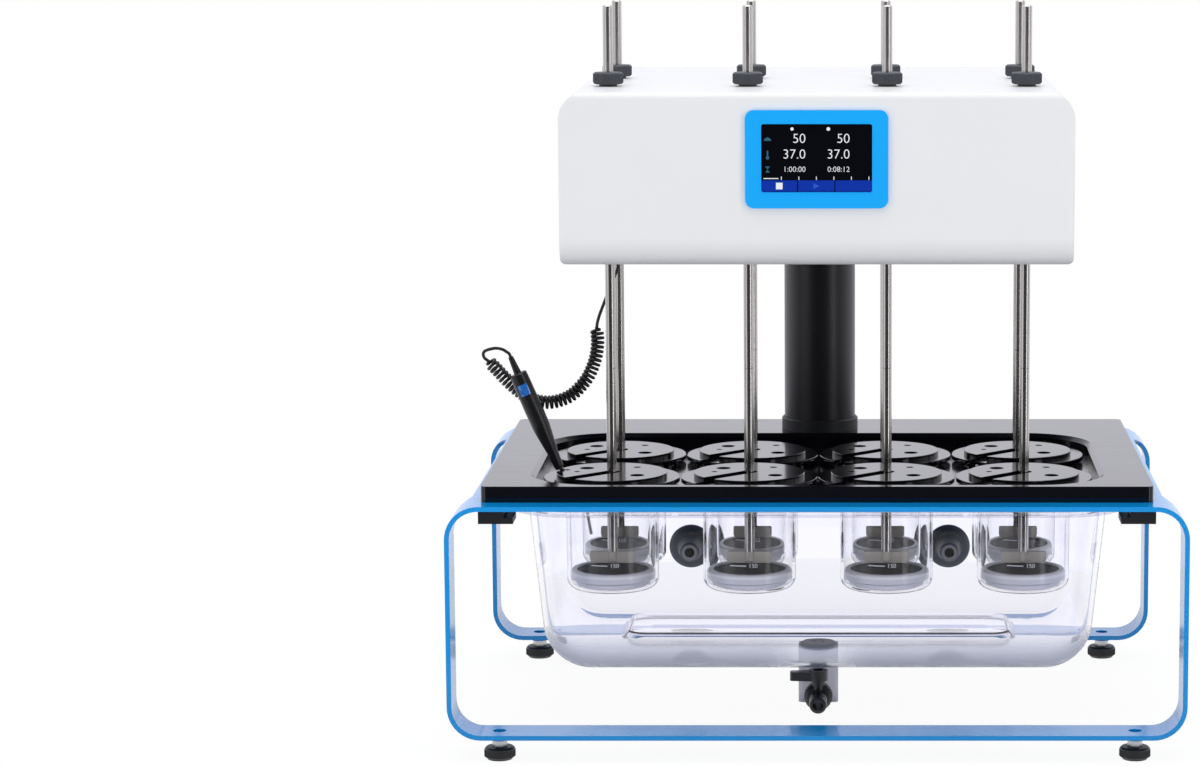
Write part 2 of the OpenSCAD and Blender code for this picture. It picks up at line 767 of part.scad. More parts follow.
// Blue frame round the touch screen
module screen_bezel() {
  color("#00a8ff") translate([0, head_y0 - bezel_t, bezel_z]) along_y(bezel_t) difference() {
    rounded_rect(bezel_w, bezel_h, 8);
    translate([0, screen_z - bezel_z]) rounded_rect(screen_w, screen_h, 2);
  }
}

// Touch screen behind the bezel
module display_panel() {
  color("#05060a") translate([0, head_y0, screen_z]) along_y(panel_t)
    square([screen_w + 2 * panel_frame, screen_h + 2 * panel_frame], center = true);
}

// Control board on posts behind the touch screen
module control_board() {
  board_w = 150;
  board_h = 88;
  post_y = head_y0 + panel_t;
  color("#1f6b3a") {
    translate([0, post_y + board_gap, screen_z]) along_y(1.6) square([board_w, board_h], center = true);
    for (x = [-1, 1], z = [-1, 1]) translate([x * screen_w * 0.45, post_y, screen_z + z * screen_h * 0.4])
      rotate([-90, 0, 0]) cylinder(d = 6, h = board_gap);
  }
}

// Mains inlet in the head's rear wall
module power_inlet() {
  flange_t = 3;
  depth = 22;
  recess = 14;
  pins = [[-7, -2], [0, 3], [7, -2]];
  color("#17181b") translate([inlet_x, head_y1, inlet_z]) {
    difference() {
      union() {
        along_y(flange_t) rounded_rect(inlet_w + 20, inlet_h + 7, 3);
        translate([0, -depth, 0]) along_y(depth + over) square([inlet_w, inlet_h], center = true);
      }
      translate([0, flange_t - recess, 0]) along_y(recess + over)
        shaped_rect(inlet_w - 4, inlet_h - 5, [1, 1, 5, 5]);
    }
    for (p = pins) translate([p[0], flange_t - recess - over, p[1]]) along_y(recess - 3)
      square([2, 4], center = true);
  }
}

// Motor housing on four posts, hollow round its rotor
module drive_motor() {
  posts = motor_w / 2 - 5;
  color("#3d4047") translate([0, motor_y, 0]) {
    difference() {
      translate([0, 0, motor_z]) linear_extrude(motor_h) rounded_rect(motor_w, motor_w, 5);
      translate([0, 0, motor_z - over]) cylinder(d = motor_shaft_d + 2 * run_gap, h = rotor_end);
      translate([0, 0, motor_z + rotor_end - 2 * over])
        cylinder(d = rotor_d + 2 * turn_gap, h = motor_h - 2 * rotor_end + 4 * over);
    }
    for (x = [-1, 1], y = [-1, 1]) translate([x * posts, y * posts, plate_top])
      cylinder(d = motor_post_d, h = motor_z - plate_top);
  }
}

// Motor pulley, shaft and rotor, which turn as one
module motor_pulley() {
  color("#b4b7be") translate([0, motor_y, 0]) {
    translate([0, 0, belt_z - 1]) cylinder(d = motor_pulley_d, h = belt_w + 2);
    translate([0, 0, belt_z - 1]) cylinder(d = motor_shaft_d, h = motor_z + motor_h / 2 - belt_z);
    translate([0, 0, motor_z + rotor_end]) cylinder(d = rotor_d, h = motor_h - 2 * rotor_end);
  }
}

// Flat belt round all the spindle pulleys
module drive_belt() {
  in_r = pulley_r + turn_gap;
  out_r = in_r + belt_t;
  color("#1d1d20") translate([0, group_y, belt_z]) linear_extrude(belt_w) difference() {
    rounded_rect((columns - 1) * pitch + 2 * out_r, (rows - 1) * pitch + 2 * out_r, out_r);
    rounded_rect((columns - 1) * pitch + 2 * in_r, (rows - 1) * pitch + 2 * in_r, in_r);
  }
}

// Bearing housings that carry the spindles on the base plate
module spindle_bearings() {
  color("#8f9299") at_spots() translate([0, 0, plate_top]) difference() {
    union() {
      cylinder(d = spindle_d + 17, h = bearing_h);
      cylinder(d = spindle_d + 31, h = 4);
    }
    translate([0, 0, -over]) cylinder(d = spindle_d + 2 * run_gap, h = bearing_h + 2 * over);
  }
}

// Hollow spindle with its pulley and the chuck nut that grips the paddle's shaft
module spindle(i) {
  bore = shaft_d / 2 + run_gap / 2;
  r = spindle_d / 2;
  c = chuck_d / 2;
  z0 = belt_z - 1 - flange_h;
  z1 = belt_z + belt_w + 1;
  top = chuck_z + chuck_h;
  color("#3a3c44") translate([spot_x(i), spot_y(i), 0]) rotate_extrude() polygon([
    [bore, plate_z], [r, plate_z], [r, z0], [pulley_flange_r, z0], [pulley_flange_r, z0 + flange_h],
    [pulley_r, z0 + flange_h], [pulley_r, z1], [pulley_flange_r, z1], [pulley_flange_r, z1 + flange_h],
    [r, z1 + flange_h], [r, chuck_z], [c - chuck_edge, chuck_z], [c, chuck_z + chuck_edge],
    [c, top - chuck_edge], [c - chuck_edge, top], [bore, top]]);
}

// Paddle: two-part shaft with a screw joint, and its blade
module paddle(i) {
  r = shaft_d / 2;
  groove = 0.3;
  blade_top = blade_bottom + blade_h;
  color("#b9b6b2") translate([spot_x(i), spot_y(i), 0]) {
    rotate_extrude() polygon([[0, blade_bottom + 1], [r - 1, blade_bottom + 1], [r, blade_bottom + 2],
      [r, shaft_joint - groove], [r - groove, shaft_joint], [r, shaft_joint + groove],
      [r, shaft_top - 1], [r - 1, shaft_top], [0, shaft_top]]);
    translate([0, -blade_t / 2, (blade_bottom + blade_top) / 2]) along_y(blade_t)
      shaped_rect(blade_w, blade_h, [4, 4, 1.5, 1.5]);
  }
}

// Lid: flange, raised disc and locating rim, with its slot and ports
module lid(i) {
  rim_h = 2;
  rim_r = vessel_in_r - 5;
  edge = 0.5;
  h1 = lid_flange_t;
  h2 = lid_flange_t + lid_disc_t;
  r1 = lid_d / 2;
  r2 = lid_disc_d / 2;
  hole_r = lid_slot / 2 + 0.6;
  port_r = port_d / 2;
  ports = [[-25, 20, port_r], [25, -20, port_r], [-33, 0, 2.75], [22.5, 25, 3.5]];
  color("#15161c") difference() {
    translate([spot_x(i), spot_y(i), lid_z]) difference() {
      rotate_extrude() polygon([[0, -rim_h], [rim_r, -rim_h], [rim_r, 0], [r1, 0], [r1, h1 - edge],
        [r1 - edge, h1], [r2, h1], [r2, h2 - edge], [r2 - edge, h2], [0, h2]]);
      translate([0, 0, -rim_h - over]) {
        cylinder(r = hole_r, h = h2 + rim_h + 2 * over);
        rotate(225) translate([0, -lid_slot / 2, 0]) cube([lid_d, lid_slot, h2 + rim_h + 2 * over]);
        for (p = ports) translate([p[0], p[1], 0]) cylinder(r = p[2], h = h2 + rim_h + 2 * over);
      }
    }
    if (i == 0) at_bend(0) translate([0, 0, -12]) cylinder(r = sheath_d / 2 + 2.5, h = 40);
  }
}

// Bends of the probe's sheath, from the handle's tip into the vessel, as [x, z]
sheath_points = [[tip_x, tip_z], [mouth_x, mouth_z], [probe_x - 27, mouth_z - 20], [probe_x - 21, 192]];
function sheath_lean(k) = let (v = sheath_points[k + 1] - sheath_points[k]) atan2(v[0], v[1]);
function sheath_length(k) = norm(sheath_points[k + 1] - sheath_points[k]);

// Stand at a bend of the sheath, with +Z along its next straight length
module at_bend(k) {
  translate([sheath_points[k][0], probe_y, sheath_points[k][1]]) rotate([0, sheath_lean(k), 0]) children();
}

// Thin steel sheath of the temperature probe
module probe_sheath() {
  r = sheath_d / 2;
  bead = 0.1;
  color("#8b8c92") difference() {
    union() {
      for (k = [0 : len(sheath_points) - 2]) at_bend(k) cylinder(r = r, h = sheath_length(k));
      for (k = [1 : len(sheath_points) - 2]) at_bend(k) sphere(r + bead);
    }
    handle_place() translate([0, 0, -1.5]) cylinder(d = handle_d, h = handle_l);
  }
}

module handle_place() { translate([tip_x, probe_y, tip_z]) rotate([0, -handle_lean, 0]) children(); }

// Handle of the temperature probe, with the boot that the cord leaves by
module probe_handle() {
  r = handle_d / 2;
  color("#15161a") handle_place() rotate_extrude() polygon([[0, -1.5], [3.5, -1.5], [4.6, 0], [5.2, 14],
    [6.2, 22], [r - 0.2, 42], [r, 60], [r - 0.3, handle_l - 8], [r - 0.5, handle_l - 1], [r - 1.5, handle_l],
    [3.6, handle_l], [2.4, handle_l + boot_l], [0, handle_l + boot_l]]);
}

// Socket under the head that the probe's cord plugs into
module probe_socket() {
  color("#1c1d21") translate([socket_x, socket_y, 0]) rotate_extrude() polygon([[0, socket_z],
    [2.6, socket_z], [5, socket_z + 5], [socket_d / 2, socket_z + 6], [socket_d / 2, plate_z], [0, plate_z]]);
}

// Curly cord of the probe: a smooth centre line through the route, and a helix round its middle
function spline(a, b, c, d, t) = 0.5 * (2 * b + (c - a) * t + (2 * a - 5 * b + 4 * c - d) * t * t
  + (3 * b - a - 3 * c + d) * t * t * t);
line_steps = 16;
line_last = len(cord_route) - 1;
function route_at(k) = cord_route[max(0, min(line_last, k))];
line = concat([for (k = [0 : line_last - 1], s = [0 : line_steps - 1])
  spline(route_at(k - 1), route_at(k), route_at(k + 1), route_at(k + 2), s / line_steps)],
  [cord_route[line_last]]);
line_way = [for (k = 0, d = 0; k < len(line); k = k + 1,
  d = k < len(line) ? d + norm(line[k] - line[k - 1]) : d) d];
line_l = line_way[len(line) - 1];
curl_start = line_way[len(lead_in) * line_steps];
curl_end = line_way[(len(lead_in) + len(curl_route)) * line_steps];
curls = floor((curl_end - curl_start) / curl_pitch);
curl_r = (curl_d - cord_d) / 2;
rings_per_curl = 8;
cord_sides = 6;
lead_step = 4;

// Point on the centre line at distance s from the socket
function line_at(s) = let (k = max([for (j = [0 : len(line) - 2]) if (line_way[j] <= s) j]),
  t = (s - line_way[k]) / (line_way[k + 1] - line_way[k])) line[k] + (line[k + 1] - line[k]) * t;
function unit(v) = v / norm(v);
function span(a, b, n) = [for (j = [0 : n - 1]) a + (b - a) * j / n];
curl_rings = curls * rings_per_curl;
ring_way = concat(span(0, curl_start, floor(curl_start / lead_step)),
  span(curl_start, curl_end, curl_rings),
  span(curl_end, line_l, floor((line_l - curl_end) / lead_step)), [line_l]);
function curl_turn(s) = 360 * curls * max(0, min(1, (s - curl_start) / (curl_end - curl_start)));
function curl_swell(s) = curl_r * max(0, min(1, min(s - curl_start, curl_end - s) / curl_pitch));
ring_axis = [for (s = ring_way) line_at(s)];
ring_last = len(ring_way) - 1;
function axis_dir(k) = unit(ring_axis[min(ring_last, k + 1)] - ring_axis[max(0, k - 1)]);
ring_out = [for (k = [0 : ring_last]) let (t = axis_dir(k), n = unit(cross([0, 1, 0], t)), b = cross(t, n),
  a = curl_turn(ring_way[k])) n * cos(a) + b * sin(a)];
ring_mid = [for (k = [0 : ring_last]) ring_axis[k] + ring_out[k] * curl_swell(ring_way[k])];
function wire_dir(k) = unit(ring_mid[min(ring_last, k + 1)] - ring_mid[max(0, k - 1)]);
cord_points = [for (k = [0 : ring_last]) let (t = wire_dir(k), u = unit(ring_out[k] - t * (ring_out[k] * t)),
  v = cross(t, u)) for (j = [0 : cord_sides - 1]) let (a = 360 * j / cord_sides)
  ring_mid[k] + (u * cos(a) + v * sin(a)) * cord_d / 2];
cord_faces = concat(
  [for (k = [0 : ring_last - 1], j = [0 : cord_sides - 1]) let (n = (j + 1) % cord_sides, p = k * cord_sides,
    q = p + cord_sides) each [[p + j, q + j, p + n], [p + n, q + j, q + n]]],
  [for (j = [1 : cord_sides - 2]) [0, j, j + 1]],
  [for (j = [1 : cord_sides - 2]) let (p = ring_last * cord_sides) [p, p + j + 1, p + j]]);

module probe_cord() {
  near = floor(rings_per_curl * 0.6);
  gap = min([for (k = [0 : ring_last - near], m = [k + near : min(ring_last, k + 4 * rings_per_curl)])
    let (d = norm(ring_mid[k] - ring_mid[m])) if (ring_way[m] - ring_way[k] > curl_pitch * 0.55) d]) - cord_d;
  echo(str("cord: ", curls, " curls, centre line ", line_l, " mm, least gap to itself ", gap, " mm"));
  color("#17181a") polyhedron(cord_points, cord_faces);
}

leg_frame();
foot(-1, -1);  // foot_1
foot(1, -1);  // foot_2
foot(-1, 1);  // foot_3
foot(1, 1);  // foot_4
deck_plate();
tank_clips();
tank_rim_seal();
bath_tank();
glass_vessels();
disc_holders();
disc_meshes();
lift_column();
column_collar();
actuator_body();
drain_block();
drain_strainer();
drain_valve();
drain_lever();
bath_couplings();
head_shell();
head_base_plate();
screen_bezel();
display_panel();
control_board();
power_inlet();
drive_motor();
motor_pulley();
drive_belt();
spindle_bearings();
lift_ram();
actuator_rod();
for (i = spots) {
  spindle(i);
  paddle(i);
  lid(i);
}
probe_socket();
probe_cord();
probe_handle();
probe_sheath();
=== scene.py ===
# %% [markdown]
# # A dissolution tester on a white studio ground
# A drive head turns eight paddles in glass vessels, which hang in a clear bath. The solids come from
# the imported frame, in metres: X to the right, Y to the rear, Z up. This lesson gives them their
# finishes and adds the small forms that the solids leave plain.

# %% Load the frame
import bpy
import bmesh
import math
from mathutils import Matrix, Vector


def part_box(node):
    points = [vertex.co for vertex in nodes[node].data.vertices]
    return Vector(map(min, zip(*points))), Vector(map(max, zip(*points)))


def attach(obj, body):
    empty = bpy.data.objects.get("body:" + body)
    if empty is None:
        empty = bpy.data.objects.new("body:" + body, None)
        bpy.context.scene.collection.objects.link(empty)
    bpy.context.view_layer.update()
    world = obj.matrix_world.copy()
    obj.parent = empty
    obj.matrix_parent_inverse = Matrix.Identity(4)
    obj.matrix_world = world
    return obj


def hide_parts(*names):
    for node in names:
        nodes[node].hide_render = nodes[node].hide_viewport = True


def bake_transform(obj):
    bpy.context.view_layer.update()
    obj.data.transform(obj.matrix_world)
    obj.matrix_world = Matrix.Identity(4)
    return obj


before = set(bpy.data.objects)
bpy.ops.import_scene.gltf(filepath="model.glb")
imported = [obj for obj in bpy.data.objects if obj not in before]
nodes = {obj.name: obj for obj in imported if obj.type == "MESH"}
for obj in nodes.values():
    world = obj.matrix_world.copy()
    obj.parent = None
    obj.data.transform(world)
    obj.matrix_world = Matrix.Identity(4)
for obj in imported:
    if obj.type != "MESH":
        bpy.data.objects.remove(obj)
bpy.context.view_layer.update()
MM = 0.001
POSITIONS, FEET = range(1, 9), range(1, 5)

# %% [markdown]
# ## The camera
# The photo was taken with a long lens from a little above the head. The object stands at the right of
# the picture, so the lens is shifted sideways and the camera itself looks straight ahead. A turned
# camera would make the upright shafts lean.

# %% Set the camera
scene = bpy.context.scene
scene.view_settings.view_transform = "Standard"
camera = bpy.data.objects.new("Camera", bpy.data.cameras.new("Camera"))
scene.collection.objects.link(camera)
scene.camera = camera
camera.location = (0.0266, -3.3861, 0.8119)
camera.rotation_euler = (math.radians(81.75), 0, 0)
camera.data.sensor_width = 36
camera.data.lens = 105.03
camera.data.shift_x = -0.205
print("camera:", tuple(round(c, 3) for c in camera.location), "lens", round(camera.data.lens, 1), "mm")

# %% [markdown]
# ## Three small helpers
# Colours are written as on a colour chart, in sRGB, and Blender's shaders want linear light, so one
# function converts them. A second one adds a node to any tree, sets its values and links its inputs.
# A third starts a material with an empty tree.

# %% Colour and node helpers
def linear(code):
    channels = [int(code[i:i + 2], 16) / 255 for i in (1, 3, 5)]
    return tuple(c / 12.92 if c <= 0.04045 else ((c + 0.055) / 1.055) ** 2.4 for c in channels) + (1.0,)


def add(tree, kind, inputs=None, **settings):
    node = tree.nodes.new(kind)
    for key, value in settings.items():
        setattr(node, key, value)
    for key, value in (inputs or {}).items():
        if isinstance(value, bpy.types.NodeSocket):
            tree.links.new(value, node.inputs[key])
        else:
            node.inputs[key].default_value = value
    return node


def empty_material(name):
    made = bpy.data.materials.new(name)
    made.use_nodes = True
    made.node_tree.nodes.clear()
    return made, made.node_tree


# %% [markdown]
# ## The studio
# White goods on white paper: the ground behind the object is pure white, and so is what the glass
# shows. Only behind the camera is the world dark, as a studio is, so the black deck and the screen
# stay black. The floor is a round sheet of paper: it keeps a soft shadow near the feet, fades to white
# away from them, and ends before the black faces could mirror its far side.

# %% World, floor and lamps
world = bpy.data.worlds.new("White studio")
scene.world = world
world.use_nodes = True
sky = world.node_tree
sky.nodes.clear()
path = add(sky, "ShaderNodeLightPath")
way = add(sky, "ShaderNodeTexCoord")
axes = add(sky, "ShaderNodeSeparateXYZ", {0: way.outputs["Generated"]})
side = add(sky, "ShaderNodeMath", {0: axes.outputs["Y"], 1: 0.5, 2: 0.5}, operation="MULTIPLY_ADD")
cards = add(sky, "ShaderNodeValToRGB", {0: side.outputs[0]})
ramp = cards.color_ramp.elements
ramp[0].position, ramp[0].color = 0.0, (0.05, 0.05, 0.06, 1)
ramp[1].position, ramp[1].color = 1.0, (1, 1, 1.08, 1)
for position, grey in ((0.2, 0.12), (0.42, 0.62), (0.6, 0.95)):
    stop = ramp.new(position)
    stop.color = (grey, grey, grey * 1.06, 1)
seen = add(sky, "ShaderNodeMath", {0: path.outputs["Is Glossy Ray"], 1: path.outputs["Is Transmission Ray"]},
           operation="MAXIMUM")
soft = add(sky, "ShaderNodeBackground", {"Color": (1, 1, 1.01, 1), "Strength": 0.6})
carded = add(sky, "ShaderNodeBackground", {"Color": cards.outputs[0], "Strength": 1.12})
white = add(sky, "ShaderNodeBackground", {"Color": (1, 1, 1, 1), "Strength": 1.0})
mirrored = add(sky, "ShaderNodeMixShader", {0: seen.outputs[0], 1: soft.outputs[0], 2: carded.outputs[0]})
shown = add(sky, "ShaderNodeMixShader",
            {0: path.outputs["Is Camera Ray"], 1: mirrored.outputs[0], 2: white.outputs[0]})
add(sky, "ShaderNodeOutputWorld", {0: shown.outputs[0]})

FLOOR_R, FLOOR_SIDES, FADE_FROM, FADE_TO = 0.75, 96, 0.42, 0.72
floor_mesh = bpy.data.meshes.new("Floor")
floor_ring = [math.tau * k / FLOOR_SIDES for k in range(FLOOR_SIDES)]
floor_mesh.from_pydata([(FLOOR_R * math.cos(a), FLOOR_R * math.sin(a), 0) for a in floor_ring], [],
                       [tuple(range(FLOOR_SIDES))])
floor = bpy.data.objects.new("Floor", floor_mesh)
scene.collection.objects.link(floor)
paper, tree = empty_material("White paper")
path = add(tree, "ShaderNodeLightPath")
seen = add(tree, "ShaderNodeMath", {0: path.outputs["Is Glossy Ray"], 1: path.outputs["Is Transmission Ray"]},
           operation="MAXIMUM")
spot = add(tree, "ShaderNodeTexCoord")
away = add(tree, "ShaderNodeVectorMath", {0: spot.outputs["Object"]}, operation="LENGTH")
fade = add(tree, "ShaderNodeMapRange", {0: away.outputs["Value"], 1: FADE_FROM, 2: FADE_TO, 3: 0.9, 4: 1.0})
looked = add(tree, "ShaderNodeMath", {0: seen.outputs[0], 1: path.outputs["Is Camera Ray"]},
             operation="MAXIMUM")
share = add(tree, "ShaderNodeMath", {0: looked.outputs[0], 1: fade.outputs[0]}, operation="MULTIPLY")
tone = add(tree, "ShaderNodeMix", {0: path.outputs["Is Diffuse Ray"], 6: (0.86, 0.86, 0.87, 1),
                                   7: (0.4, 0.4, 0.41, 1)}, data_type="RGBA")
matt = add(tree, "ShaderNodeBsdfDiffuse", {"Color": tone.outputs[2]})
glow = add(tree, "ShaderNodeEmission", {"Color": (1, 1, 1, 1), "Strength": 1.04})
both = add(tree, "ShaderNodeMixShader", {0: share.outputs[0], 1: matt.outputs[0], 2: glow.outputs[0]})
add(tree, "ShaderNodeOutputMaterial", {0: both.outputs[0]})
floor_mesh.materials.append(paper)

# Each lamp: name, place, what it points at, width and height, watts, and whether mirrors show it.
for name, place, aim, size, power, in_mirrors in (
        ("Overhead softbox", (0.0, -0.5, 2.6), (0, 0, 0.4), (2.4, 1.8), 26, True),
        ("Left softbox", (-2.3, -1.9, 0.6), (0, 0, 0.35), (1.5, 2.6), 12, True),
        ("Right strip light", (2.2, -2.1, 0.6), (0, 0, 0.35), (0.7, 2.6), 15, True),
        ("Low front fill", (0.0, -2.4, -0.2), (0, 0, 0.45), (1.8, 0.6), 8, False)):
    lamp = bpy.data.lights.new(name, "AREA")
    lamp.shape, lamp.size, lamp.size_y, lamp.energy = "RECTANGLE", size[0], size[1], power
    holder = bpy.data.objects.new(name, lamp)
    scene.collection.objects.link(holder)
    holder.location = place
    holder.visible_glossy = holder.visible_transmission = in_mirrors
    holder.rotation_euler = (Vector(aim) - Vector(place)).to_track_quat("-Z", "Y").to_euler()
print("studio: floor, world and 4 lamps")

# %% [markdown]
# ## The finishes
# Most surfaces here are a colour with a fine grain: powder coat has an orange-peel skin, mouldings a
# spark-eroded one, and turned or ground metal has lines. One function builds such a finish: a noise in
# real millimetres moves the colour, the roughness and the surface a little. Its stretch draws the
# grain out along an axis, which makes lines of it.

# %% A grained finish
def grained(name, colour, rough, grain, height, shift=0.06, stretch=(1, 1, 1), **sockets):
    """grain and height are in mm, and shift is how much the colour and the roughness vary."""
    made, tree = empty_material(name)
    place = add(tree, "ShaderNodeTexCoord")
    drawn = add(tree, "ShaderNodeMapping", {0: place.outputs["Object"], "Scale": stretch})
    fine = add(tree, "ShaderNodeTexNoise", {0: drawn.outputs[0], "Scale": 1 / (grain * MM), "Detail": 2.0})
    broad = add(tree, "ShaderNodeTexNoise", {0: place.outputs["Object"], "Scale": 14.0, "Detail": 3.0})
    base = linear(colour)
    dark = tuple(c * (1 - shift) for c in base[:3]) + (1,)
    light = tuple(min(1, c * (1 + shift)) for c in base[:3]) + (1,)
    tint = add(tree, "ShaderNodeMix", {0: broad.outputs[0], 6: dark, 7: light}, data_type="RGBA")
    dull = add(tree, "ShaderNodeMapRange", {0: fine.outputs[0], 1: 0.3, 2: 0.7, 3: rough * (1 - 2 * shift),
                                            4: rough * (1 + 2 * shift)})
    skin = add(tree, "ShaderNodeBump", {"Strength": 0.6, "Distance": height * MM, "Height": fine.outputs[0]})
    body = add(tree, "ShaderNodeBsdfPrincipled", {"Base Color": tint.outputs[2], "Roughness": dull.outputs[0],
                                                  "Normal": skin.outputs[0]})
    for key, value in sockets.items():
        body.inputs[key.replace("_", " ")].default_value = value
    add(tree, "ShaderNodeOutputMaterial", {0: body.outputs[0]})
    return made


# %% [markdown]
# ## The probe's curly cord
# A retractile cord is wound on a rod and baked, so it keeps its curls while its ends stay straight. It
# leaves a socket under the head, hangs in a slack bow behind the handle, and turns over into the
# handle's boot. The route is a short list of points; a helix of the right pitch runs round its middle.

# %% Route of the cord
ROUTE_IN = [(-192, -52, 446), (-192, -52, 440), (-197, -53, 428), (-204, -56, 410), (-210, -59, 394)]
ROUTE_CURLS = [(-212, -61, 384), (-211, -64, 372), (-212, -67, 360), (-215, -70, 349), (-220, -74, 338),
               (-228, -77, 328), (-236, -79, 321), (-245, -81, 317), (-255, -83, 315), (-266, -85, 316),
               (-276, -87, 320), (-285, -90, 327), (-294, -93, 336), (-302, -95, 345), (-308, -97, 352)]
HANDLE_TIP, HANDLE_LENGTH, BOOT_LENGTH, HANDLE_LEAN = Vector((-246, -107, 257)), 97, 17, math.radians(23)
HANDLE_AXIS = Vector((-math.sin(HANDLE_LEAN), 0, math.cos(HANDLE_LEAN)))
BOOT_END = HANDLE_TIP + HANDLE_AXIS * (HANDLE_LENGTH + BOOT_LENGTH)
ROUTE_OUT = [(-313, -98, 357), (-316, -100, 360), (-317, -101, 364), (-315, -103, 367), (-310, -105, 369),
             (-304, -106, 370), (-298, -107, 369), (-294, -107, 366.5), tuple(BOOT_END + HANDLE_AXIS * 3.4),
             tuple(BOOT_END + HANDLE_AXIS * 0.1)]
CORD_D, CURL_D, CURL_PITCH = 3.0, 13.4, 4.1
RINGS_IN, RINGS_A_CURL, RINGS_OUT, CORD_SIDES = 26, 20, 34, 10


def smooth_line(points, steps):
    points = [Vector(p) for p in points]
    last = len(points) - 1
    line = []
    for k in range(last):
        a, b, c, d = (points[min(max(j, 0), last)] for j in (k - 1, k, k + 1, k + 2))
        for s in range(steps):
            t = s / steps
            line.append(0.5 * (2 * b + (c - a) * t + (2 * a - 5 * b + 4 * c - d) * t * t
                               + (3 * b - a - 3 * c + d) * t ** 3))
    return line + [points[last]]


STEPS = 16
axis_line = smooth_line(ROUTE_IN + ROUTE_CURLS + ROUTE_OUT, STEPS)
along = [0.0]
for a, b in zip(axis_line, axis_line[1:]):
    along.append(along[-1] + (b - a).length)
curl_from = along[len(ROUTE_IN) * STEPS]
curl_to = along[(len(ROUTE_IN) + len(ROUTE_CURLS)) * STEPS]
curls = int((curl_to - curl_from) / CURL_PITCH)


def axis_at(s):
    k = max(0, min(len(along) - 2, next((i for i, d in enumerate(along) if d > s), len(along)) - 1))
    t = (s - along[k]) / (along[k + 1] - along[k])
    return axis_line[k].lerp(axis_line[k + 1], t)


def spread(a, b, count):
    return [a + (b - a) * j / count for j in range(count)]


stations = (spread(0, curl_from, RINGS_IN) + spread(curl_from, curl_to, curls * RINGS_A_CURL)
            + spread(curl_to, along[-1], RINGS_OUT) + [along[-1]])
middles = [axis_at(s) for s in stations]
cord_path = []
for k, s in enumerate(stations):
    ahead = (middles[min(k + 1, len(middles) - 1)] - middles[max(k - 1, 0)]).normalized()
    across = Vector((0, 1, 0)).cross(ahead).normalized()
    turn = math.tau * curls * min(1, max(0, (s - curl_from) / (curl_to - curl_from)))
    swell = (CURL_D - CORD_D) / 2 * min(1, max(0, min(s - curl_from, curl_to - s) / CURL_PITCH))
    cord_path.append(middles[k] + (across * math.cos(turn) + ahead.cross(across) * math.sin(turn)) * swell)
print("cord:", curls, "curls on a line of", round(along[-1]), "mm")

# %% [markdown]
# A tube is swept along that path. Each ring of points is carried on from the one before it, turned as
# little as possible, so the tube never twists where the helix begins.

# %% Sweep the cord
def make_object(name, mesh, material, smooth=35):
    mesh.materials.clear()
    mesh.materials.append(material)
    if smooth:
        mesh.polygons.foreach_set("use_smooth", [True] * len(mesh.polygons))
        mesh.set_sharp_from_angle(angle=math.radians(smooth))
    made = bpy.data.objects.new(name, mesh)
    scene.collection.objects.link(made)
    return made


def strip(rows, count, closed=True):
    """Faces that join rows of count points each, row by row, with a face at either end if closed."""
    faces = []
    for k in range(rows - 1):
        for j in range(count):
            n = (j + 1) % count
            faces.append((k * count + j, k * count + n, (k + 1) * count + n, (k + 1) * count + j))
    if closed:
        faces.append(tuple(reversed(range(count))))
        faces.append(tuple(range((rows - 1) * count, rows * count)))
    return faces


def tube(name, points, radius, sides):
    verts, across = [], None
    for k, p in enumerate(points):
        ahead = (points[min(k + 1, len(points) - 1)] - points[max(k - 1, 0)]).normalized()
        across = ahead.orthogonal() if across is None else across - ahead * across.dot(ahead)
        across.normalize()
        up = ahead.cross(across)
        for j in range(sides):
            angle = math.tau * j / sides
            verts.append((p + (across * math.cos(angle) + up * math.sin(angle)) * radius) * MM)
    mesh = bpy.data.meshes.new(name)
    mesh.from_pydata(verts, [], strip(len(points), sides))
    return mesh


# Black PU jacket: satin, with a fine moulded skin.
cord_jacket = grained("Black PU cord jacket", "#17181b", 0.42, 0.8, 0.02)
cord = make_object("Curly_cord", tube("Curly_cord", cord_path, CORD_D / 2, CORD_SIDES), cord_jacket, 60)
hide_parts("probe_cord")
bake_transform(cord)

# %% [markdown]
# ## Painted steel, plastic and metal
# Each solid gets the finish of the real piece. The numbers after the colour are the roughness, the
# size and the height of the grain in millimetres, and how much the colour varies.

# %% Finishes of the solids
# Powder coat: an even colour under a glossy skin, which turns pale where it is seen at a low angle.
blue_coat = grained("Blue powder-coated steel", "#0096e6", 0.2, 1.6, 0.006, 0.04, Specular_IOR_Level=0.3,
                    Coat_Weight=0.25, Coat_Roughness=0.12)
white_coat = grained("White powder-coated steel", "#ecedef", 0.42, 1.1, 0.02, 0.015)
# Polished black plastic: nearly black from above, and a mirror at a low angle.
deck_acetal = grained("Polished black acetal", "#090a10", 0.15, 2.4, 0.004, 0.1, stretch=(0.08, 1, 1))
lid_acetal = grained("Turned black acetal", "#0b0c11", 0.12, 1.5, 0.004, 0.1)
# Drawn and ground metal: fine lines along the piece, which stretch its highlights.
black_anodised = grained("Black anodised tube", "#111218", 0.36, 1.0, 0.008, 0.06, stretch=(1, 1, 0.05))
ground_steel = grained("Ground stainless steel", "#b9b6b2", 0.13, 6.0, 0.0001, 0.03, stretch=(1, 1, 0.1),
                       Metallic=1.0)
milled_aluminium = grained("Milled aluminium", "#b4b6bb", 0.36, 0.8, 0.01, 0.05, stretch=(0.05, 1, 1),
                           Metallic=1.0)
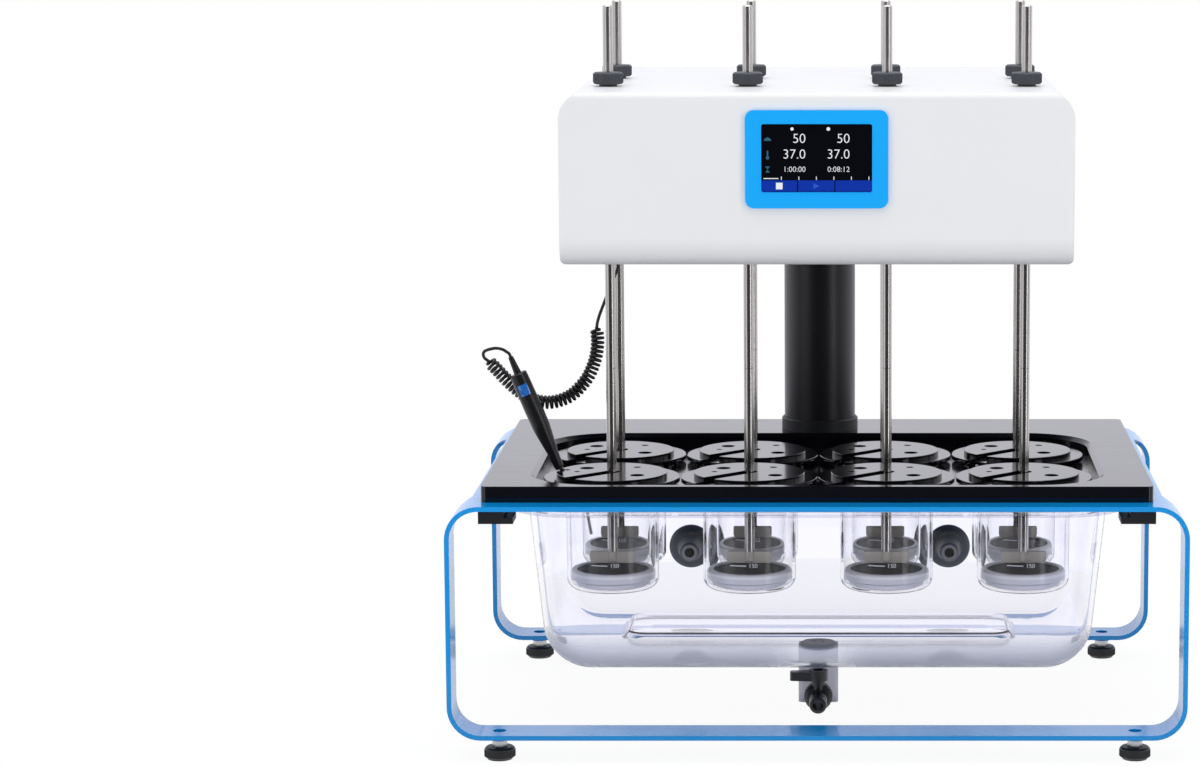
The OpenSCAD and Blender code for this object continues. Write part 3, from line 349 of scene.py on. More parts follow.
# Mouldings: a soft sheen broken up by the fine skin of the mould.
black_nylon = grained("Black moulded nylon", "#17191e", 0.48, 0.9, 0.02)
valve_nylon = grained("Black glass-filled nylon", "#15171d", 0.3, 0.9, 0.01)
handle_nylon = grained("Black satin handle", "#121317", 0.32, 0.7, 0.012)
blue_abs = grained("Blue satin ABS", "#00abff", 0.34, 0.8, 0.01, 0.02, Specular_IOR_Level=0.25)
# Glass and clear plastics: a sharp mirror on the screen, and a milky glow in the block and the seal.
screen_glass = grained("Black touch glass", "#04050a", 0.06, 4.0, 0.001)
frosted_block = grained("Frosted acrylic block", "#d4d5df", 0.42, 0.9, 0.02, 0.03, Transmission_Weight=0.5,
                        IOR=1.49)
seal_silicone = grained("Clear silicone seal", "#dcdde2", 0.5, 0.7, 0.01, 0.02, Transmission_Weight=0.6,
                        IOR=1.41)
# Paint, lacquer and rubber of the pieces that the head and the column hide: dull and even.
motor_paint = grained("Grey motor paint", "#5b5e66", 0.45, 1.0, 0.02)
board_lacquer = grained("Green board lacquer", "#1d6238", 0.35, 2.0, 0.01)
belt_rubber = grained("Black belt rubber", "#1d1d20", 0.7, 0.7, 0.02)
FINISH = {
    "leg_frame": blue_coat, "deck_plate": deck_acetal, "tank_clips": black_nylon,
    "tank_rim_seal": seal_silicone, "lift_column": black_anodised, "column_collar": black_nylon,
    "actuator_body": motor_paint,
    "drain_block": frosted_block, "drain_strainer": black_nylon, "drain_valve": valve_nylon,
    "drain_lever": valve_nylon, "head_shell": white_coat, "head_base_plate": milled_aluminium,
    "screen_bezel": blue_abs, "display_panel": screen_glass, "control_board": board_lacquer,
    "power_inlet": black_nylon, "drive_motor": motor_paint, "motor_pulley": ground_steel,
    "drive_belt": belt_rubber, "spindle_bearings": milled_aluminium, "lift_ram": milled_aluminium,
    "actuator_rod": ground_steel, "probe_socket": black_nylon, "probe_handle": handle_nylon,
    "probe_sheath": ground_steel}
for n in POSITIONS:
    FINISH[f"lid_{n}"] = lid_acetal


def dress(name, material):
    nodes[name].data.materials.clear()
    nodes[name].data.materials.append(material)


for name, material in FINISH.items():
    dress(name, material)
print("finishes:", len(FINISH), "solids dressed")

# %% [markdown]
# ## Pieces of several materials
# A levelling foot has a rubber pad and a steel neck, and the stud's end above them is painted dark,
# as painted shade under the frame. A spindle has a dark nut on a steel tube. A paddle has a brushed
# blade, a ground shaft and a satin top painted a little lighter, as painted light. A disc holder has a
# pale ring on its body, painted brighter still as painted light for what reaches it through the glass.
# Each is one solid, so its finish changes with height: the material compares the Z of the Object
# coordinates with each limit. A zone of roughness 1 mirrors nothing.

# %% Finishes that change with height
def height_of(tree, place):
    return add(tree, "ShaderNodeSeparateXYZ", {0: place}).outputs["Z"]


def zoned(name, *zones, measure=height_of, grain_mm=0.8, skin_mm=0.01, vary=0.12):
    """Each zone is (measure in mm that it starts at, colour, roughness, metallic), from the least up."""
    made, tree = empty_material(name)
    place = add(tree, "ShaderNodeTexCoord")
    far = measure(tree, place.outputs["Object"])
    grain = add(tree, "ShaderNodeTexNoise", {0: place.outputs["Object"], "Scale": 1 / (grain_mm * MM),
                                             "Detail": 2.0})
    skin = add(tree, "ShaderNodeBump", {"Strength": 0.5, "Distance": skin_mm * MM, "Height": grain.outputs[0]})
    shown = None
    for start, colour, rough, metal in zones:
        dull = add(tree, "ShaderNodeMapRange", {0: grain.outputs[0], 1: 0.3, 2: 0.7, 3: rough * (1 - vary),
                                                4: rough * (1 + vary)})
        mirror = 0.5 if rough < 1 else 0.0
        body = add(tree, "ShaderNodeBsdfPrincipled", {
            "Base Color": linear(colour), "Roughness": dull.outputs[0], "Metallic": metal,
            "Normal": skin.outputs[0], "Specular IOR Level": mirror})
        if shown is None:
            shown = body.outputs[0]
            continue
        over = add(tree, "ShaderNodeMath", {0: far, 1: start * MM}, operation="GREATER_THAN")
        shown = add(tree, "ShaderNodeMixShader", {0: over.outputs[0], 1: shown, 2: body.outputs[0]}).outputs[0]
    add(tree, "ShaderNodeOutputMaterial", {0: shown})
    return made


# Satin rubber, then a bright steel neck, and an end above it painted dark: painted shade under the frame.
foot_finish = zoned("Rubber pad on a steel stud", (0, "#1b1c20", 0.45, 0.0), (11.8, "#b9babd", 0.3, 1.0),
                    (20.0, "#0d0e12", 0.6, 0.0))
# Satin steel under a dull grey nut.
spindle_finish = zoned("Steel tube and dark nut", (0, "#a9a9ac", 0.3, 1.0), (612.0, "#43464e", 0.5, 0.0))
# A pale soft blade, a shaft with long sharp highlights, and a softer top painted lighter: painted light.
paddle_finish = zoned("Ground shaft with a brushed blade", (0, "#bab5ab", 0.5, 0.3),
                      (177.6, "#b9b6b2", 0.18, 1.0), (605, "#c4c1be", 0.3, 1.0),
                      grain_mm=6.0, skin_mm=0.0001, vary=0.03)
# White plastic; a smoother pale ring, painted brighter still as painted light through the glass.
holder_finish = zoned("White polymer with a ring painted brighter", (0, "#dcdde4", 0.35, 0.0),
                      (157.5, "#f3f3f6", 0.25, 0.0))
for n in FEET:
    dress(f"foot_{n}", foot_finish)
for n in POSITIONS:
    dress(f"spindle_{n}", spindle_finish)
    dress(f"paddle_{n}", paddle_finish)
dress("disc_holders", holder_finish)
print("zoned finishes: feet, spindles, paddles and disc holders")

# %% [markdown]
# The bath couplings are turned, so their finish changes with the distance from their own axis: a bore
# painted black, as painted shade in the hole, a bright hub round it, and slate rings outside. Both have
# one Z and lie at equal X on either side, so the sign of X is dropped before the distance is measured.

# %% Finish that changes with the distance from an axis
coupling_low, coupling_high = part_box("bath_couplings")
coupling_r = (coupling_high.z - coupling_low.z) / 2
coupling_axis = (coupling_high.x - coupling_r, 0, coupling_low.z + coupling_r)


def from_coupling(tree, place):
    parts = add(tree, "ShaderNodeSeparateXYZ", {0: place})
    either = add(tree, "ShaderNodeMath", {0: parts.outputs["X"]}, operation="ABSOLUTE")
    level = add(tree, "ShaderNodeCombineXYZ", {"X": either.outputs[0], "Z": parts.outputs["Z"]})
    gap = add(tree, "ShaderNodeVectorMath", {0: level.outputs[0], 1: coupling_axis}, operation="DISTANCE")
    return gap.outputs["Value"]


# The innermost zone is black and mirrors nothing: painted shade in the bore.
dress("bath_couplings", zoned("Slate turned nylon", (0, "#0a0b0e", 1.0, 0.0), (4.9, "#9b9ca3", 0.3, 0.0),
                              (7.9, "#343a45", 0.4, 0.0), (13.7, "#424956", 0.45, 0.0),
                              (18.7, "#525a69", 0.45, 0.0), measure=from_coupling))
print("couplings: rings about x", round(coupling_axis[0] / MM, 1), "z", round(coupling_axis[2] / MM, 1))

# %% [markdown]
# ## Clear pieces
# Glass bends what is seen through it, but light that only passes through to light the things behind
# would be lost in it, so a clear finish lets shadow rays and soft bounced light straight through. The
# tank's sheet also gets a diffuse white low in the wide bend at its front, which the lamps shade. This
# is painted refraction, standing for the darker floor seen through the bend, with less of it round the
# drain. Its rim lies against the seal, which takes the bending away there.

# %% Clear finishes
# Painted refraction in the tank's front bend: where it starts, how far it fades, and its white.
PAINTED_REFRACTION_FRONT, PAINTED_REFRACTION_FADE, PAINTED_REFRACTION_WHITE = -110, 45, "#d5d6e2"
DRAIN_NEAR, DRAIN_FAR, DRAIN_SHARE, RIM_SHARE = 15, 48, 0.4, 0.85


def clear(name, colour, ior, painted_refraction=0.0, painted_refraction_from=1, painted_refraction_to=0, rim=1000, drain=0.0):
    """painted_refraction is the share of painted white at the front, for the darker floor seen through the
    bend: none at the first height (mm), all at the second. Above the height of the rim (mm) it is seen
    straight through. Near the drain's X (m) less white is painted, so it is clearer."""
    made, tree = empty_material(name)
    path = add(tree, "ShaderNodeLightPath")
    lighting = add(tree, "ShaderNodeMath", {
        0: path.outputs["Is Shadow Ray"], 1: path.outputs["Is Diffuse Ray"]}, operation="MAXIMUM")
    body = add(tree, "ShaderNodeBsdfPrincipled", {
        "Base Color": linear(colour), "Roughness": 0.0, "IOR": ior, "Transmission Weight": 1.0,
        "Specular Tint": (0.3, 0.3, 0.3, 1)})
    open_ = add(tree, "ShaderNodeBsdfTransparent", {"Color": linear(colour)})
    place = add(tree, "ShaderNodeTexCoord")
    high = add(tree, "ShaderNodeSeparateXYZ", {0: place.outputs["Object"]})
    low = add(tree, "ShaderNodeMapRange", {0: high.outputs["Z"], 1: painted_refraction_to * MM, 2: painted_refraction_from * MM,
                                           3: painted_refraction, 4: 0.0})
    ahead = add(tree, "ShaderNodeMapRange", {0: high.outputs["Y"], 1: (PAINTED_REFRACTION_FRONT - PAINTED_REFRACTION_FADE) * MM,
                                             2: PAINTED_REFRACTION_FRONT * MM, 3: 1.0, 4: 0.0})
    bend = add(tree, "ShaderNodeMath", {0: low.outputs[0], 1: ahead.outputs[0]}, operation="MULTIPLY")
    beside = add(tree, "ShaderNodeMath", {0: high.outputs["X"], 1: drain}, operation="SUBTRACT")
    away = add(tree, "ShaderNodeMath", {0: beside.outputs[0]}, operation="ABSOLUTE")
    less_paint_near_drain = add(tree, "ShaderNodeMapRange", {0: away.outputs[0], 1: DRAIN_NEAR * MM, 2: DRAIN_FAR * MM,
                                            3: DRAIN_SHARE, 4: 1.0})
    share = add(tree, "ShaderNodeMath", {0: bend.outputs[0], 1: less_paint_near_drain.outputs[0]}, operation="MULTIPLY")
    top = add(tree, "ShaderNodeMapRange", {0: high.outputs["Z"], 1: (rim - 1) * MM, 2: rim * MM,
                                           3: 0.0, 4: RIM_SHARE})
    through = add(tree, "ShaderNodeMath", {0: lighting.outputs[0], 1: top.outputs[0]}, operation="MAXIMUM")
    # The painted refraction: a diffuse white, mixed into the glass by the share above.
    white = add(tree, "ShaderNodeBsdfDiffuse", {"Color": linear(PAINTED_REFRACTION_WHITE)})
    with_painted_refraction = add(tree, "ShaderNodeMixShader", {0: share.outputs[0], 1: body.outputs[0], 2: white.outputs[0]})
    shown = add(tree, "ShaderNodeMixShader", {0: through.outputs[0], 1: with_painted_refraction.outputs[0], 2: open_.outputs[0]})
    add(tree, "ShaderNodeOutputMaterial", {0: shown.outputs[0]})
    return made


# Thin clear walls: almost no colour of their own, and darker lines where they turn edge on.
strainer_low, strainer_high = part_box("drain_strainer")
dress("glass_vessels", clear("Borosilicate glass", "#ffffff", 1.47))
# The tank sheet carries painted refraction: a diffuse white low in its front bend, shaded by the lamps.
clear_sheet = clear("Clear formed copolyester", "#f7f7fb", 1.45, painted_refraction=0.42, painted_refraction_from=117, painted_refraction_to=96,
                    rim=228, drain=(strainer_low.x + strainer_high.x) / 2)
print("clear finishes: vessels and tank sheet")

# %% [markdown]
# ## Perforated discs
# The disc in each holder is photo-etched steel with rows of round holes. At this distance a hole is
# less than a pixel, so it is drawn in the material, 2.4 mm apart, as a black spot in a dark sheet; the
# black spot is painted shade, for the dark seen through a hole.

# %% Perforated steel
def perforated(name, spacing, hole):
    made, tree = empty_material(name)
    place = add(tree, "ShaderNodeTexCoord")
    cell = add(tree, "ShaderNodeTexVoronoi", {0: place.outputs["Object"], "Scale": 1 / (spacing * MM),
                                              "Randomness": 0.0}, voronoi_dimensions="2D")
    # Each hole: a black spot, painted shade for the dark seen through it.
    open_ = add(tree, "ShaderNodeMath", {0: cell.outputs["Distance"], 1: hole / spacing / 2},
                operation="LESS_THAN")
    tint = add(tree, "ShaderNodeMix", {0: open_.outputs[0], 6: linear("#2c2b2d"), 7: linear("#08090a")},
               data_type="RGBA")
    body = add(tree, "ShaderNodeBsdfPrincipled", {"Base Color": tint.outputs[2], "Roughness": 0.5,
                                                  "Specular IOR Level": 0.1})
    add(tree, "ShaderNodeOutputMaterial", {0: body.outputs[0]})
    return made


dress("disc_meshes", perforated("Etched steel disc", 2.4, 1.5))
print("discs: perforated")

# %% [markdown]
# ## The bath tank
# The tank is drawn from one clear sheet over a mould, so every inside edge is a wide radius and the
# front and side walls lean. It is a loft: round-cornered outlines, from the middle of the underside
# out to the rim and back down inside, each with the same number of points, so one strip of faces
# joins each to the next. A loft gives true curves where the solid has facets.

# %% Outlines and loft
def outline(half_w, y0, y1, radius, z, arc=14, straight=10):
    points = []
    corners = ((half_w - radius, y0 + radius, -90), (half_w - radius, y1 - radius, 0),
               (radius - half_w, y1 - radius, 90), (radius - half_w, y0 + radius, 180))
    for k, (x, y, start) in enumerate(corners):
        ring = [(x + radius * math.cos(math.radians(start + 90 * j / arc)),
                 y + radius * math.sin(math.radians(start + 90 * j / arc))) for j in range(arc + 1)]
        nx, ny, nstart = corners[(k + 1) % 4]
        to = (nx + radius * math.cos(math.radians(nstart)), ny + radius * math.sin(math.radians(nstart)))
        gap = [(ring[-1][0] + (to[0] - ring[-1][0]) * j / straight,
                ring[-1][1] + (to[1] - ring[-1][1]) * j / straight) for j in range(1, straight)]
        points += ring + gap
    return [(px * MM, py * MM, z * MM) for px, py in points]


def loft(name, rings, closed=True):
    """Joins closed rings of equally many points, and closes both ends unless the last ring is the first."""
    mesh = bpy.data.meshes.new(name)
    mesh.from_pydata([p for ring in rings for p in ring], [], strip(len(rings), len(rings[0]), closed))
    work = bmesh.new()
    work.from_mesh(mesh)
    bmesh.ops.remove_doubles(work, verts=work.verts, dist=1e-7)
    bmesh.ops.recalc_face_normals(work, faces=work.faces)
    work.to_mesh(mesh)
    work.free()
    return mesh


TANK_TOP, TANK_BOTTOM, TANK_WALL, TANK_R, DRAFT = 233.5, 72.5, 3.5, 46.0, math.radians(5.5)
TANK_HW, TANK_Y0, TANK_Y1, CORNER_R, RIM_W, RIM_T = 270.3, -206.0, 100.5, 45.0, 17.0, 5.0
RIB_HW, RIB_Y0, RIB_Y1, RIB_R = 188, -55, 49, 20
BEND_STEPS, WALL_STEPS = 12, 8
ball_z = TANK_BOTTOM + TANK_R
run = (TANK_TOP - ball_z) * math.tan(DRAFT)
ball_x = TANK_HW - run - TANK_R / math.cos(DRAFT)
ball_y0 = TANK_Y0 + run + TANK_R / math.cos(DRAFT)
ball_y1 = TANK_Y1 - TANK_R


def wall_rings(inset):
    """Rings from the floor's edge up to the rim, for a wall set in by inset."""
    r = TANK_R - inset
    rings = []
    for step in range(BEND_STEPS + 1):
        angle = (math.pi / 2 - DRAFT) * step / BEND_STEPS
        out = r * math.sin(angle)
        rings.append(outline(ball_x + out, ball_y0 - out, ball_y1 + out, max(out, 0.6),
                             ball_z - r * math.cos(angle)))
    low_z, low = ball_z - r * math.sin(DRAFT), r * math.cos(DRAFT)
    lean = inset / math.cos(DRAFT)
    for step in range(1, WALL_STEPS + 1):
        t = step / WALL_STEPS
        top = TANK_TOP - RIM_T if inset == 0 else TANK_TOP
        drop = (TANK_TOP - top) * math.tan(DRAFT)
        x = ball_x + low + (TANK_HW - lean - drop - ball_x - low) * t
        y0 = ball_y0 - low + (TANK_Y0 + lean + drop - ball_y0 + low) * t
        y1 = ball_y1 + low + (TANK_Y1 - inset - ball_y1 - low) * t
        rings.append(outline(x, y0, y1, low + (CORNER_R - inset - low) * t, low_z + (top - low_z) * t))
    return rings


def rib_rings(z, wider):
    """Rings of the rib that is pressed up in the floor, from its middle outwards."""
    rise = (8.0, 8.0, 7.6, 6.6, 1.4, 0.4, 0.0, 0.0)
    set_in = (26.0, 6.0, 4.8, 4.0, 1.0, 0.2, -1.0, -3.0)
    return [outline(RIB_HW + wider - s, RIB_Y0 - wider + s, RIB_Y1 + wider - s,
                    max(RIB_R + wider - s, 3), z + up) for up, s in zip(rise, set_in)]


outside = rib_rings(TANK_BOTTOM, 0) + wall_rings(0)
rim = [outline(TANK_HW + RIM_W - e, TANK_Y0 - RIM_W + e, TANK_Y1 + RIM_W - e, CORNER_R + RIM_W - e, z)
       for e, z in ((0.8, TANK_TOP - RIM_T), (0, TANK_TOP - RIM_T + 0.8),
                    (0, TANK_TOP - 0.8), (0.8, TANK_TOP))]
inside = rib_rings(TANK_BOTTOM + TANK_WALL, 2) + wall_rings(TANK_WALL)
tank = make_object("Clear_bath_tank", loft("Clear_bath_tank", outside + rim + inside[::-1]),
                   clear_sheet, 40)
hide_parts("bath_tank")
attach(tank, "base")
print("tank:", len(tank.data.polygons), "faces")

# %% [markdown]
# ## Knurled bands
# The chuck nuts, the foot pads and the drain valve's nut have a band of fine ribs for the fingers.
# The ribs repeat, so Geometry Nodes make them: a ring of points, a slim square bar turned on its edge
# at each point, and the whole band moved to its place. The tree is made once and each band sets its
# own sizes.

# %% Tree of a ribbed band
def tree_with(name, sockets):
    """A Geometry Nodes tree with named inputs, each (name, kind, value)."""
    made = bpy.data.node_groups.new(name, "GeometryNodeTree")
    for label, kind, value in sockets:
        socket = made.interface.new_socket(name=label, in_out="INPUT", socket_type="NodeSocket" + kind)
        if value is not None:
            socket.default_value = value
    made.interface.new_socket(name="Geometry", in_out="OUTPUT", socket_type="NodeSocketGeometry")
    return made


band = tree_with("Ribbed band", [("Radius", "Float", 0.0138), ("Height", "Float", 0.008), ("Ribs", "Int", 60),
                                 ("Bar", "Vector", (0.001, 0.001, 0)), ("Edge", "Float", math.pi / 4),
                                 ("Turn", "Rotation", None), ("Place", "Vector", (0, 0, 0)),
                                 ("Material", "Material", None)])
given = add(band, "NodeGroupInput").outputs
ring = add(band, "GeometryNodeMeshCircle", {"Vertices": given["Ribs"], "Radius": given["Radius"]})
tall = add(band, "ShaderNodeCombineXYZ", {"Z": given["Height"]})
size = add(band, "ShaderNodeVectorMath", {0: given["Bar"], 1: tall.outputs[0]}, operation="ADD")
bar = add(band, "GeometryNodeMeshCube", {"Size": size.outputs[0]})
edge = add(band, "ShaderNodeCombineXYZ", {"Z": given["Edge"]})
edge_turn = add(band, "FunctionNodeEulerToRotation", {0: edge.outputs[0]})
on_edge = add(band, "GeometryNodeTransform", {"Geometry": bar.outputs[0], "Rotation": edge_turn.outputs[0]})
spot = add(band, "GeometryNodeInputPosition")
facing = add(band, "FunctionNodeAlignRotationToVector", {"Vector": spot.outputs[0]}, axis="X", pivot_axis="Z")
copies = add(band, "GeometryNodeInstanceOnPoints", {"Points": ring.outputs[0], "Instance": on_edge.outputs[0],
                                                    "Rotation": facing.outputs[0]})
solid = add(band, "GeometryNodeRealizeInstances", {0: copies.outputs[0]})
moved = add(band, "GeometryNodeTransform", {"Geometry": solid.outputs[0], "Rotation": given["Turn"],
                                            "Translation": given["Place"]})
painted = add(band, "GeometryNodeSetMaterial", {"Geometry": moved.outputs[0], "Material": given["Material"]})
add(band, "NodeGroupOutput", {0: painted.outputs[0]})


def grow(name, tree, material, **values):
    """Runs a tree with these inputs and returns its result as a plain mesh object."""
    seed = bpy.data.objects.new(name + " seed", bpy.data.meshes.new(name + " seed"))
    scene.collection.objects.link(seed)
    modifier = seed.modifiers.new("Tree", "NODES")
    modifier.node_group = tree
    keys = {item.name: item.identifier for item in tree.interface.items_tree if item.in_out == "INPUT"}
    for label, value in values.items():
        modifier[keys[label]] = value
    modifier[keys["Material"]] = material
    bpy.context.view_layer.update()
    graph = bpy.context.evaluated_depsgraph_get()
    mesh = bpy.data.meshes.new_from_object(seed.evaluated_get(graph), depsgraph=graph)
    mesh.name = name
    bpy.data.objects.remove(seed)
    return make_object(name, mesh, material, 0)


# %% Ribs on the nuts, the feet and the valve
# Dark polymer and rubber: dull, so only the edges of the ribs catch the light.
nut_plastic = grained("Dark grey nut polymer", "#43464e", 0.5, 0.8, 0.02)
pad_rubber = grained("Black pad rubber", "#1b1c20", 0.55, 0.8, 0.02)
for n in POSITIONS:
    low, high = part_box(f"spindle_{n}")
    ribs = grow(f"Nut_ribs_{n}", band, nut_plastic, Radius=13.55 * MM, Height=8.2 * MM, Ribs=64,
                Bar=(0.9 * MM, 0.9 * MM, 0), Edge=math.pi / 4,
                Place=((low.x + high.x) / 2, (low.y + high.y) / 2, high.z - 5.5 * MM))
    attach(ribs, f"spindle_{n}")
for n in FEET:
    low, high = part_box(f"foot_{n}")
    ribs = grow(f"Foot_ribs_{n}", band, pad_rubber, Radius=13.7 * MM, Height=6.2 * MM, Ribs=46,
                Bar=(1.2 * MM, 1.2 * MM, 0), Edge=math.pi / 4,
                Place=((low.x + high.x) / 2, (low.y + high.y) / 2, 5.9 * MM))
    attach(ribs, f"foot_{n}")
valve_low, valve_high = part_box("drain_valve")
VALVE_Z, NUT_R, NOZZLE_R = 32.5, 13.0, 8.0
ribs = grow("Valve_nut_ribs", band, valve_nylon, Radius=(NUT_R - 0.1) * MM, Height=10 * MM, Ribs=34,
            Bar=(1.1 * MM, 1.1 * MM, 0), Edge=math.pi / 4, Turn=(math.pi / 2, 0, 0),
            Place=(0, valve_high.y - 7.5 * MM, VALVE_Z * MM))
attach(ribs, "base")
print("ribs:", len(POSITIONS), "nuts,", len(FEET), "feet and the drain valve")

# %% [markdown]
# The nozzle has three barbs that hold a hose: rings that rise steeply on the inner side and slope off
# towards the open end.

# %% Barbs on the drain nozzle
BARBS, BARB_PITCH, BARB_SIDES = 3, 7, 40
for n in range(BARBS):
    tip = valve_low.y / MM + 2.5 + BARB_PITCH * n
    section = ((NOZZLE_R - 0.3, tip), (NOZZLE_R + 0.6, tip + 3.4), (NOZZLE_R - 0.3, tip + 3.8))
    turns = [math.tau * k / BARB_SIDES for k in range(BARB_SIDES)]
    rings = [[(r * math.cos(a) * MM, y * MM, (VALVE_Z + r * math.sin(a)) * MM) for a in turns]
             for r, y in section]
    barb = make_object(f"Nozzle_barb_{n + 1}", loft(f"Nozzle_barb_{n + 1}", rings + rings[:1], closed=False),
                       valve_nylon, 30)
    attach(barb, "base")
print("barbs:", BARBS, "on the nozzle")

# %% [markdown]
# ## The screen
# The touch screen shows plain running figures, white on black, over a row of blue keys. Figures are
# text made into mesh. Keys, ticks and signs are flat outlines. All lie a quarter of a millimetre in
# front of the glass and shine by themselves, as a lit screen does.

# %% Lit signs on the screen
panel_low, panel_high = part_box("display_panel")
PANEL_FRAME, SIGN_GAP, KEY_SIGN_GAP = 5, 0.25, 0.1
SCREEN = Vector((0, panel_low.y / MM - SIGN_GAP, (panel_low.z + panel_high.z) / 2 / MM))
FIGURE_SHARE, FIGURE_THIN = 0.7, 0.015


def lit(name, colour):
    made, tree = empty_material(name)
    shine = add(tree, "ShaderNodeBsdfPrincipled", {"Base Color": (0, 0, 0, 1), "Roughness": 0.2,
                                                   "Emission Color": linear(colour), "Emission Strength": 1.0})
    add(tree, "ShaderNodeOutputMaterial", {0: shine.outputs[0]})
    return made


white_light = lit("Lit white figures", "#e9edf2")
blue_light = lit("Lit blue keys", "#0d33a3")
dim_light = lit("Lit dim signs", "#35607a")
key_light = lit("Lit key signs", "#2c58cc")


def show(name, mesh, material):
    """Puts a flat mesh, drawn in mm on X and Y, on the screen."""
    upright = Matrix.Rotation(math.pi / 2, 4, "X")
    mesh.transform(Matrix.Translation(SCREEN * MM) @ upright @ Matrix.Scale(MM, 4))
    piece = make_object(name, mesh, material, 0)
    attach(piece, "head")
    return piece


def figures(text, x, y, tall):
    """A flat mesh of plain figures, this tall in mm about x and y, with slightly thinned strokes."""
    curve = bpy.data.curves.new("figures", "FONT")
    curve.body, curve.size, curve.align_x, curve.align_y = text, tall / FIGURE_SHARE, "CENTER", "CENTER"
    curve.offset = -FIGURE_THIN * tall
    holder = bpy.data.objects.new("figures", curve)
    scene.collection.objects.link(holder)
    bpy.context.view_layer.update()
    graph = bpy.context.evaluated_depsgraph_get()
    mesh = bpy.data.meshes.new_from_object(holder.evaluated_get(graph), depsgraph=graph)
    bpy.data.objects.remove(holder)
    mesh.transform(Matrix.Translation((x, y, 0)))
    return mesh


def flat(*outlines):
    mesh = bpy.data.meshes.new("flat")
    verts, faces = [], []
    for points in outlines:
        faces.append(tuple(range(len(verts), len(verts) + len(points))))
        verts += [(x, y, 0) for x, y in points]
    mesh.from_pydata(verts, [], faces)
    return mesh


def block(x, y, w, h):
    return [(x - w / 2, y - h / 2), (x + w / 2, y - h / 2), (x + w / 2, y + h / 2), (x - w / 2, y + h / 2)]


def disc(x, y, r, count=20):
    turns = [math.tau * k / count for k in range(count)]
    return [(x + r * math.cos(a), y + r * math.sin(a)) for a in turns]


FIGURES = (("50", -15.9, 17.4, 8.6), ("50", 24.2, 17.4, 8.6), ("37.0", -20.4, 3.2, 8.6),
           ("37.0", 19.7, 3.2, 8.6), ("1:00:00", -20.2, -10.4, 4.9), ("0:08:12", 19.9, -10.4, 4.9))
for k, (text, x, y, tall) in enumerate(FIGURES):
    show(f"Figures_{k + 1}", figures(text, x, y, tall), white_light)
KEY_Y, KEY_H = -25.4, 10.2
keys = [block(x, KEY_Y, w, KEY_H) for x, w in ((-34.0, 32.2), (-0.4, 33.0), (33.6, 33.2))]
show("Key_bar", flat(*keys), blue_light)
ticks = [block(-32.1 + 15.9 * k, -18.3, 0.7, 3.0) for k in range(6)]
show("Time_scale", flat(block(-41.5, -18.6, 13.6, 0.8), disc(-22.3, 26.4, 1.5), disc(10.6, 26.4, 1.7), *ticks),
     white_light)
dial = [(-44.6 + 3.4 * math.cos(a), 15.6 + 3.4 * math.sin(a))
        for a in (math.pi * 5 / 6, math.pi / 2, math.pi / 6)]
show("Row_signs", flat(block(-44.6, 3.2, 1.4, 7.0), disc(-44.6, 0.2, 1.6),
                       [(-46.8, -7.6), (-42.4, -7.6), (-44.6, -10.4)],
                       [(-46.8, -13.2), (-44.6, -10.4), (-42.4, -13.2)],
                       [(-48.0, 15.6)] + dial + [(-41.2, 15.6)]), dim_light)
stop_sign = show("Stop_key", flat(block(-34.0, KEY_Y, 6.0, 6.0)), white_light)
start_sign = show("Start_key", flat([(-3.0, KEY_Y - 2.6), (2.6, KEY_Y), (-3.0, KEY_Y + 2.6)]), key_light)
for piece in (stop_sign, start_sign):
    piece.data.transform(Matrix.Translation((0, -KEY_SIGN_GAP * MM, 0)))
print("screen: figures, keys and scale")

# %% [markdown]
# ## The lip round the window
# The bezel is moulded, and its window has a small raised lip whose inner side slopes back to the glass.
# The slope catches the light from above on the lower side and stays dark on the upper one. It is a
# loft again, of rings that come back to the first one, stood up from the floor plane to the front.

# %% Lip of the bezel
bezel_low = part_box("screen_bezel")[0]
window_w, window_h = ((panel_high - panel_low)[axis] / MM - 2 * PANEL_FRAME for axis in (0, 2))
lip_rings = [outline(window_w / 2 + s, -window_h / 2 - s, window_h / 2 + s, 2 + s, out)
             for s, out in ((1.5, -0.2), (1.3, 0.25), (0.8, 0.4), (0.35, 0.2), (0.02, -1.2), (0.6, -1.6))]
stand = Matrix.Translation((0, bezel_low.y, SCREEN.z * MM)) @ Matrix.Rotation(math.pi / 2, 4, "X")
lip_mesh = loft("Window_lip", lip_rings + lip_rings[:1], closed=False)
lip_mesh.transform(stand)
lip = make_object("Window_lip", lip_mesh, blue_abs, 40)
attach(lip, "head")
print("lip: window of", round(window_w, 1), "by", round(window_h, 1), "mm")

# %% [markdown]
# ## Level marks on the vessels
# Each glass carries a white printed level line with a plain number beside it, at the front. The print
# is drawn flat and then wrapped: a distance along the flat line becomes an angle round the glass.

# %% Printed level marks
VESSEL_R, MARK_Z, PITCH_X, PITCH_Y, ROW_MID = 44.0, 171.5, 130, 130, -52
PRINT_R = VESSEL_R + 0.08
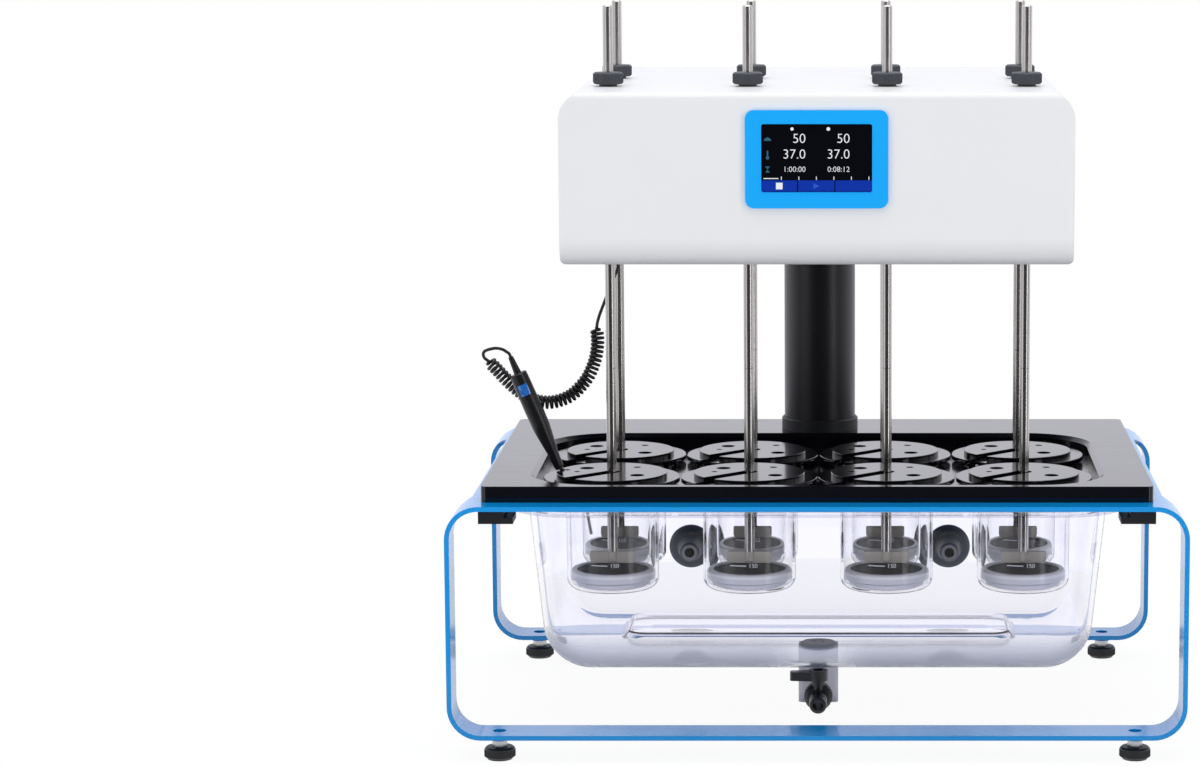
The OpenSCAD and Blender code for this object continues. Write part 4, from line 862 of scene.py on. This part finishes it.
# White screen print: even and half matt.
print_white = grained("White screen print", "#f2f3f5", 0.5, 0.6, 0.003, 0.02)
marks = bmesh.new()
for column in (-1.5, -0.5, 0.5, 1.5):
    for row in (-0.5, 0.5):
        level_line = flat(*[block(-16.5 + 2.6 * k, 0, 2.6, 0.7) for k in range(6)])
        for flat_mark in (level_line, figures("150", 4.5, 0, 4.0)):
            for vertex in flat_mark.vertices:
                along_x, up, _ = vertex.co
                angle = along_x / VESSEL_R
                vertex.co = Vector((column * PITCH_X + PRINT_R * math.sin(angle),
                                    ROW_MID + row * PITCH_Y - PRINT_R * math.cos(angle), MARK_Z + up)) * MM
            marks.from_mesh(flat_mark)
mark_mesh = bpy.data.meshes.new("Level_marks")
marks.to_mesh(mark_mesh)
marks.free()
level_marks = make_object("Level_marks", mark_mesh, print_white, 0)
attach(level_marks, "base")
print("level marks:", len(level_marks.data.polygons), "faces on", len(POSITIONS), "vessels")

# %% [markdown]
# ## The probe's badge
# A plain blue plate is let into the front of the handle near its top. It follows the round of the
# handle, so it is a patch of a slightly larger cylinder about the handle's own axis.

# %% Badge on the handle
handle_place = Matrix.Translation(HANDLE_TIP) @ Matrix.Rotation(-HANDLE_LEAN, 4, "Y")
badge_r, badge_z, badge_h, badge_arc, cuts = 8.75, 80.5, 11.0, math.radians(66), 12
rows = []
for z, r in ((-badge_h / 2, badge_r - 0.5), (-badge_h / 2, badge_r - 0.15), (-badge_h / 2 + 0.4, badge_r),
             (badge_h / 2 - 0.4, badge_r), (badge_h / 2, badge_r - 0.15), (badge_h / 2, badge_r - 0.5)):
    angles = [-math.pi / 2 - badge_arc / 2 + badge_arc * k / cuts for k in range(cuts + 1)]
    rows.append([handle_place @ Vector((r * math.cos(a), r * math.sin(a), badge_z + z)) * MM for a in angles])
badge_mesh = bpy.data.meshes.new("Handle_badge")
width = cuts + 1
badge_mesh.from_pydata([p for row in rows for p in row], [],
                       [(k * width + j, k * width + j + 1, (k + 1) * width + j + 1, (k + 1) * width + j)
                        for k in range(len(rows) - 1) for j in range(cuts)])
# Print under a clear coat: a deep blue with a small sharp highlight.
badge_blue = grained("Blue printed badge", "#0f68bd", 0.22, 0.8, 0.002, 0.04, Coat_Weight=1.0,
                     Coat_Roughness=0.05)
badge = make_object("Handle_badge", badge_mesh, badge_blue, 30)
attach(badge, "lid_1")
print("badge on the probe's handle")
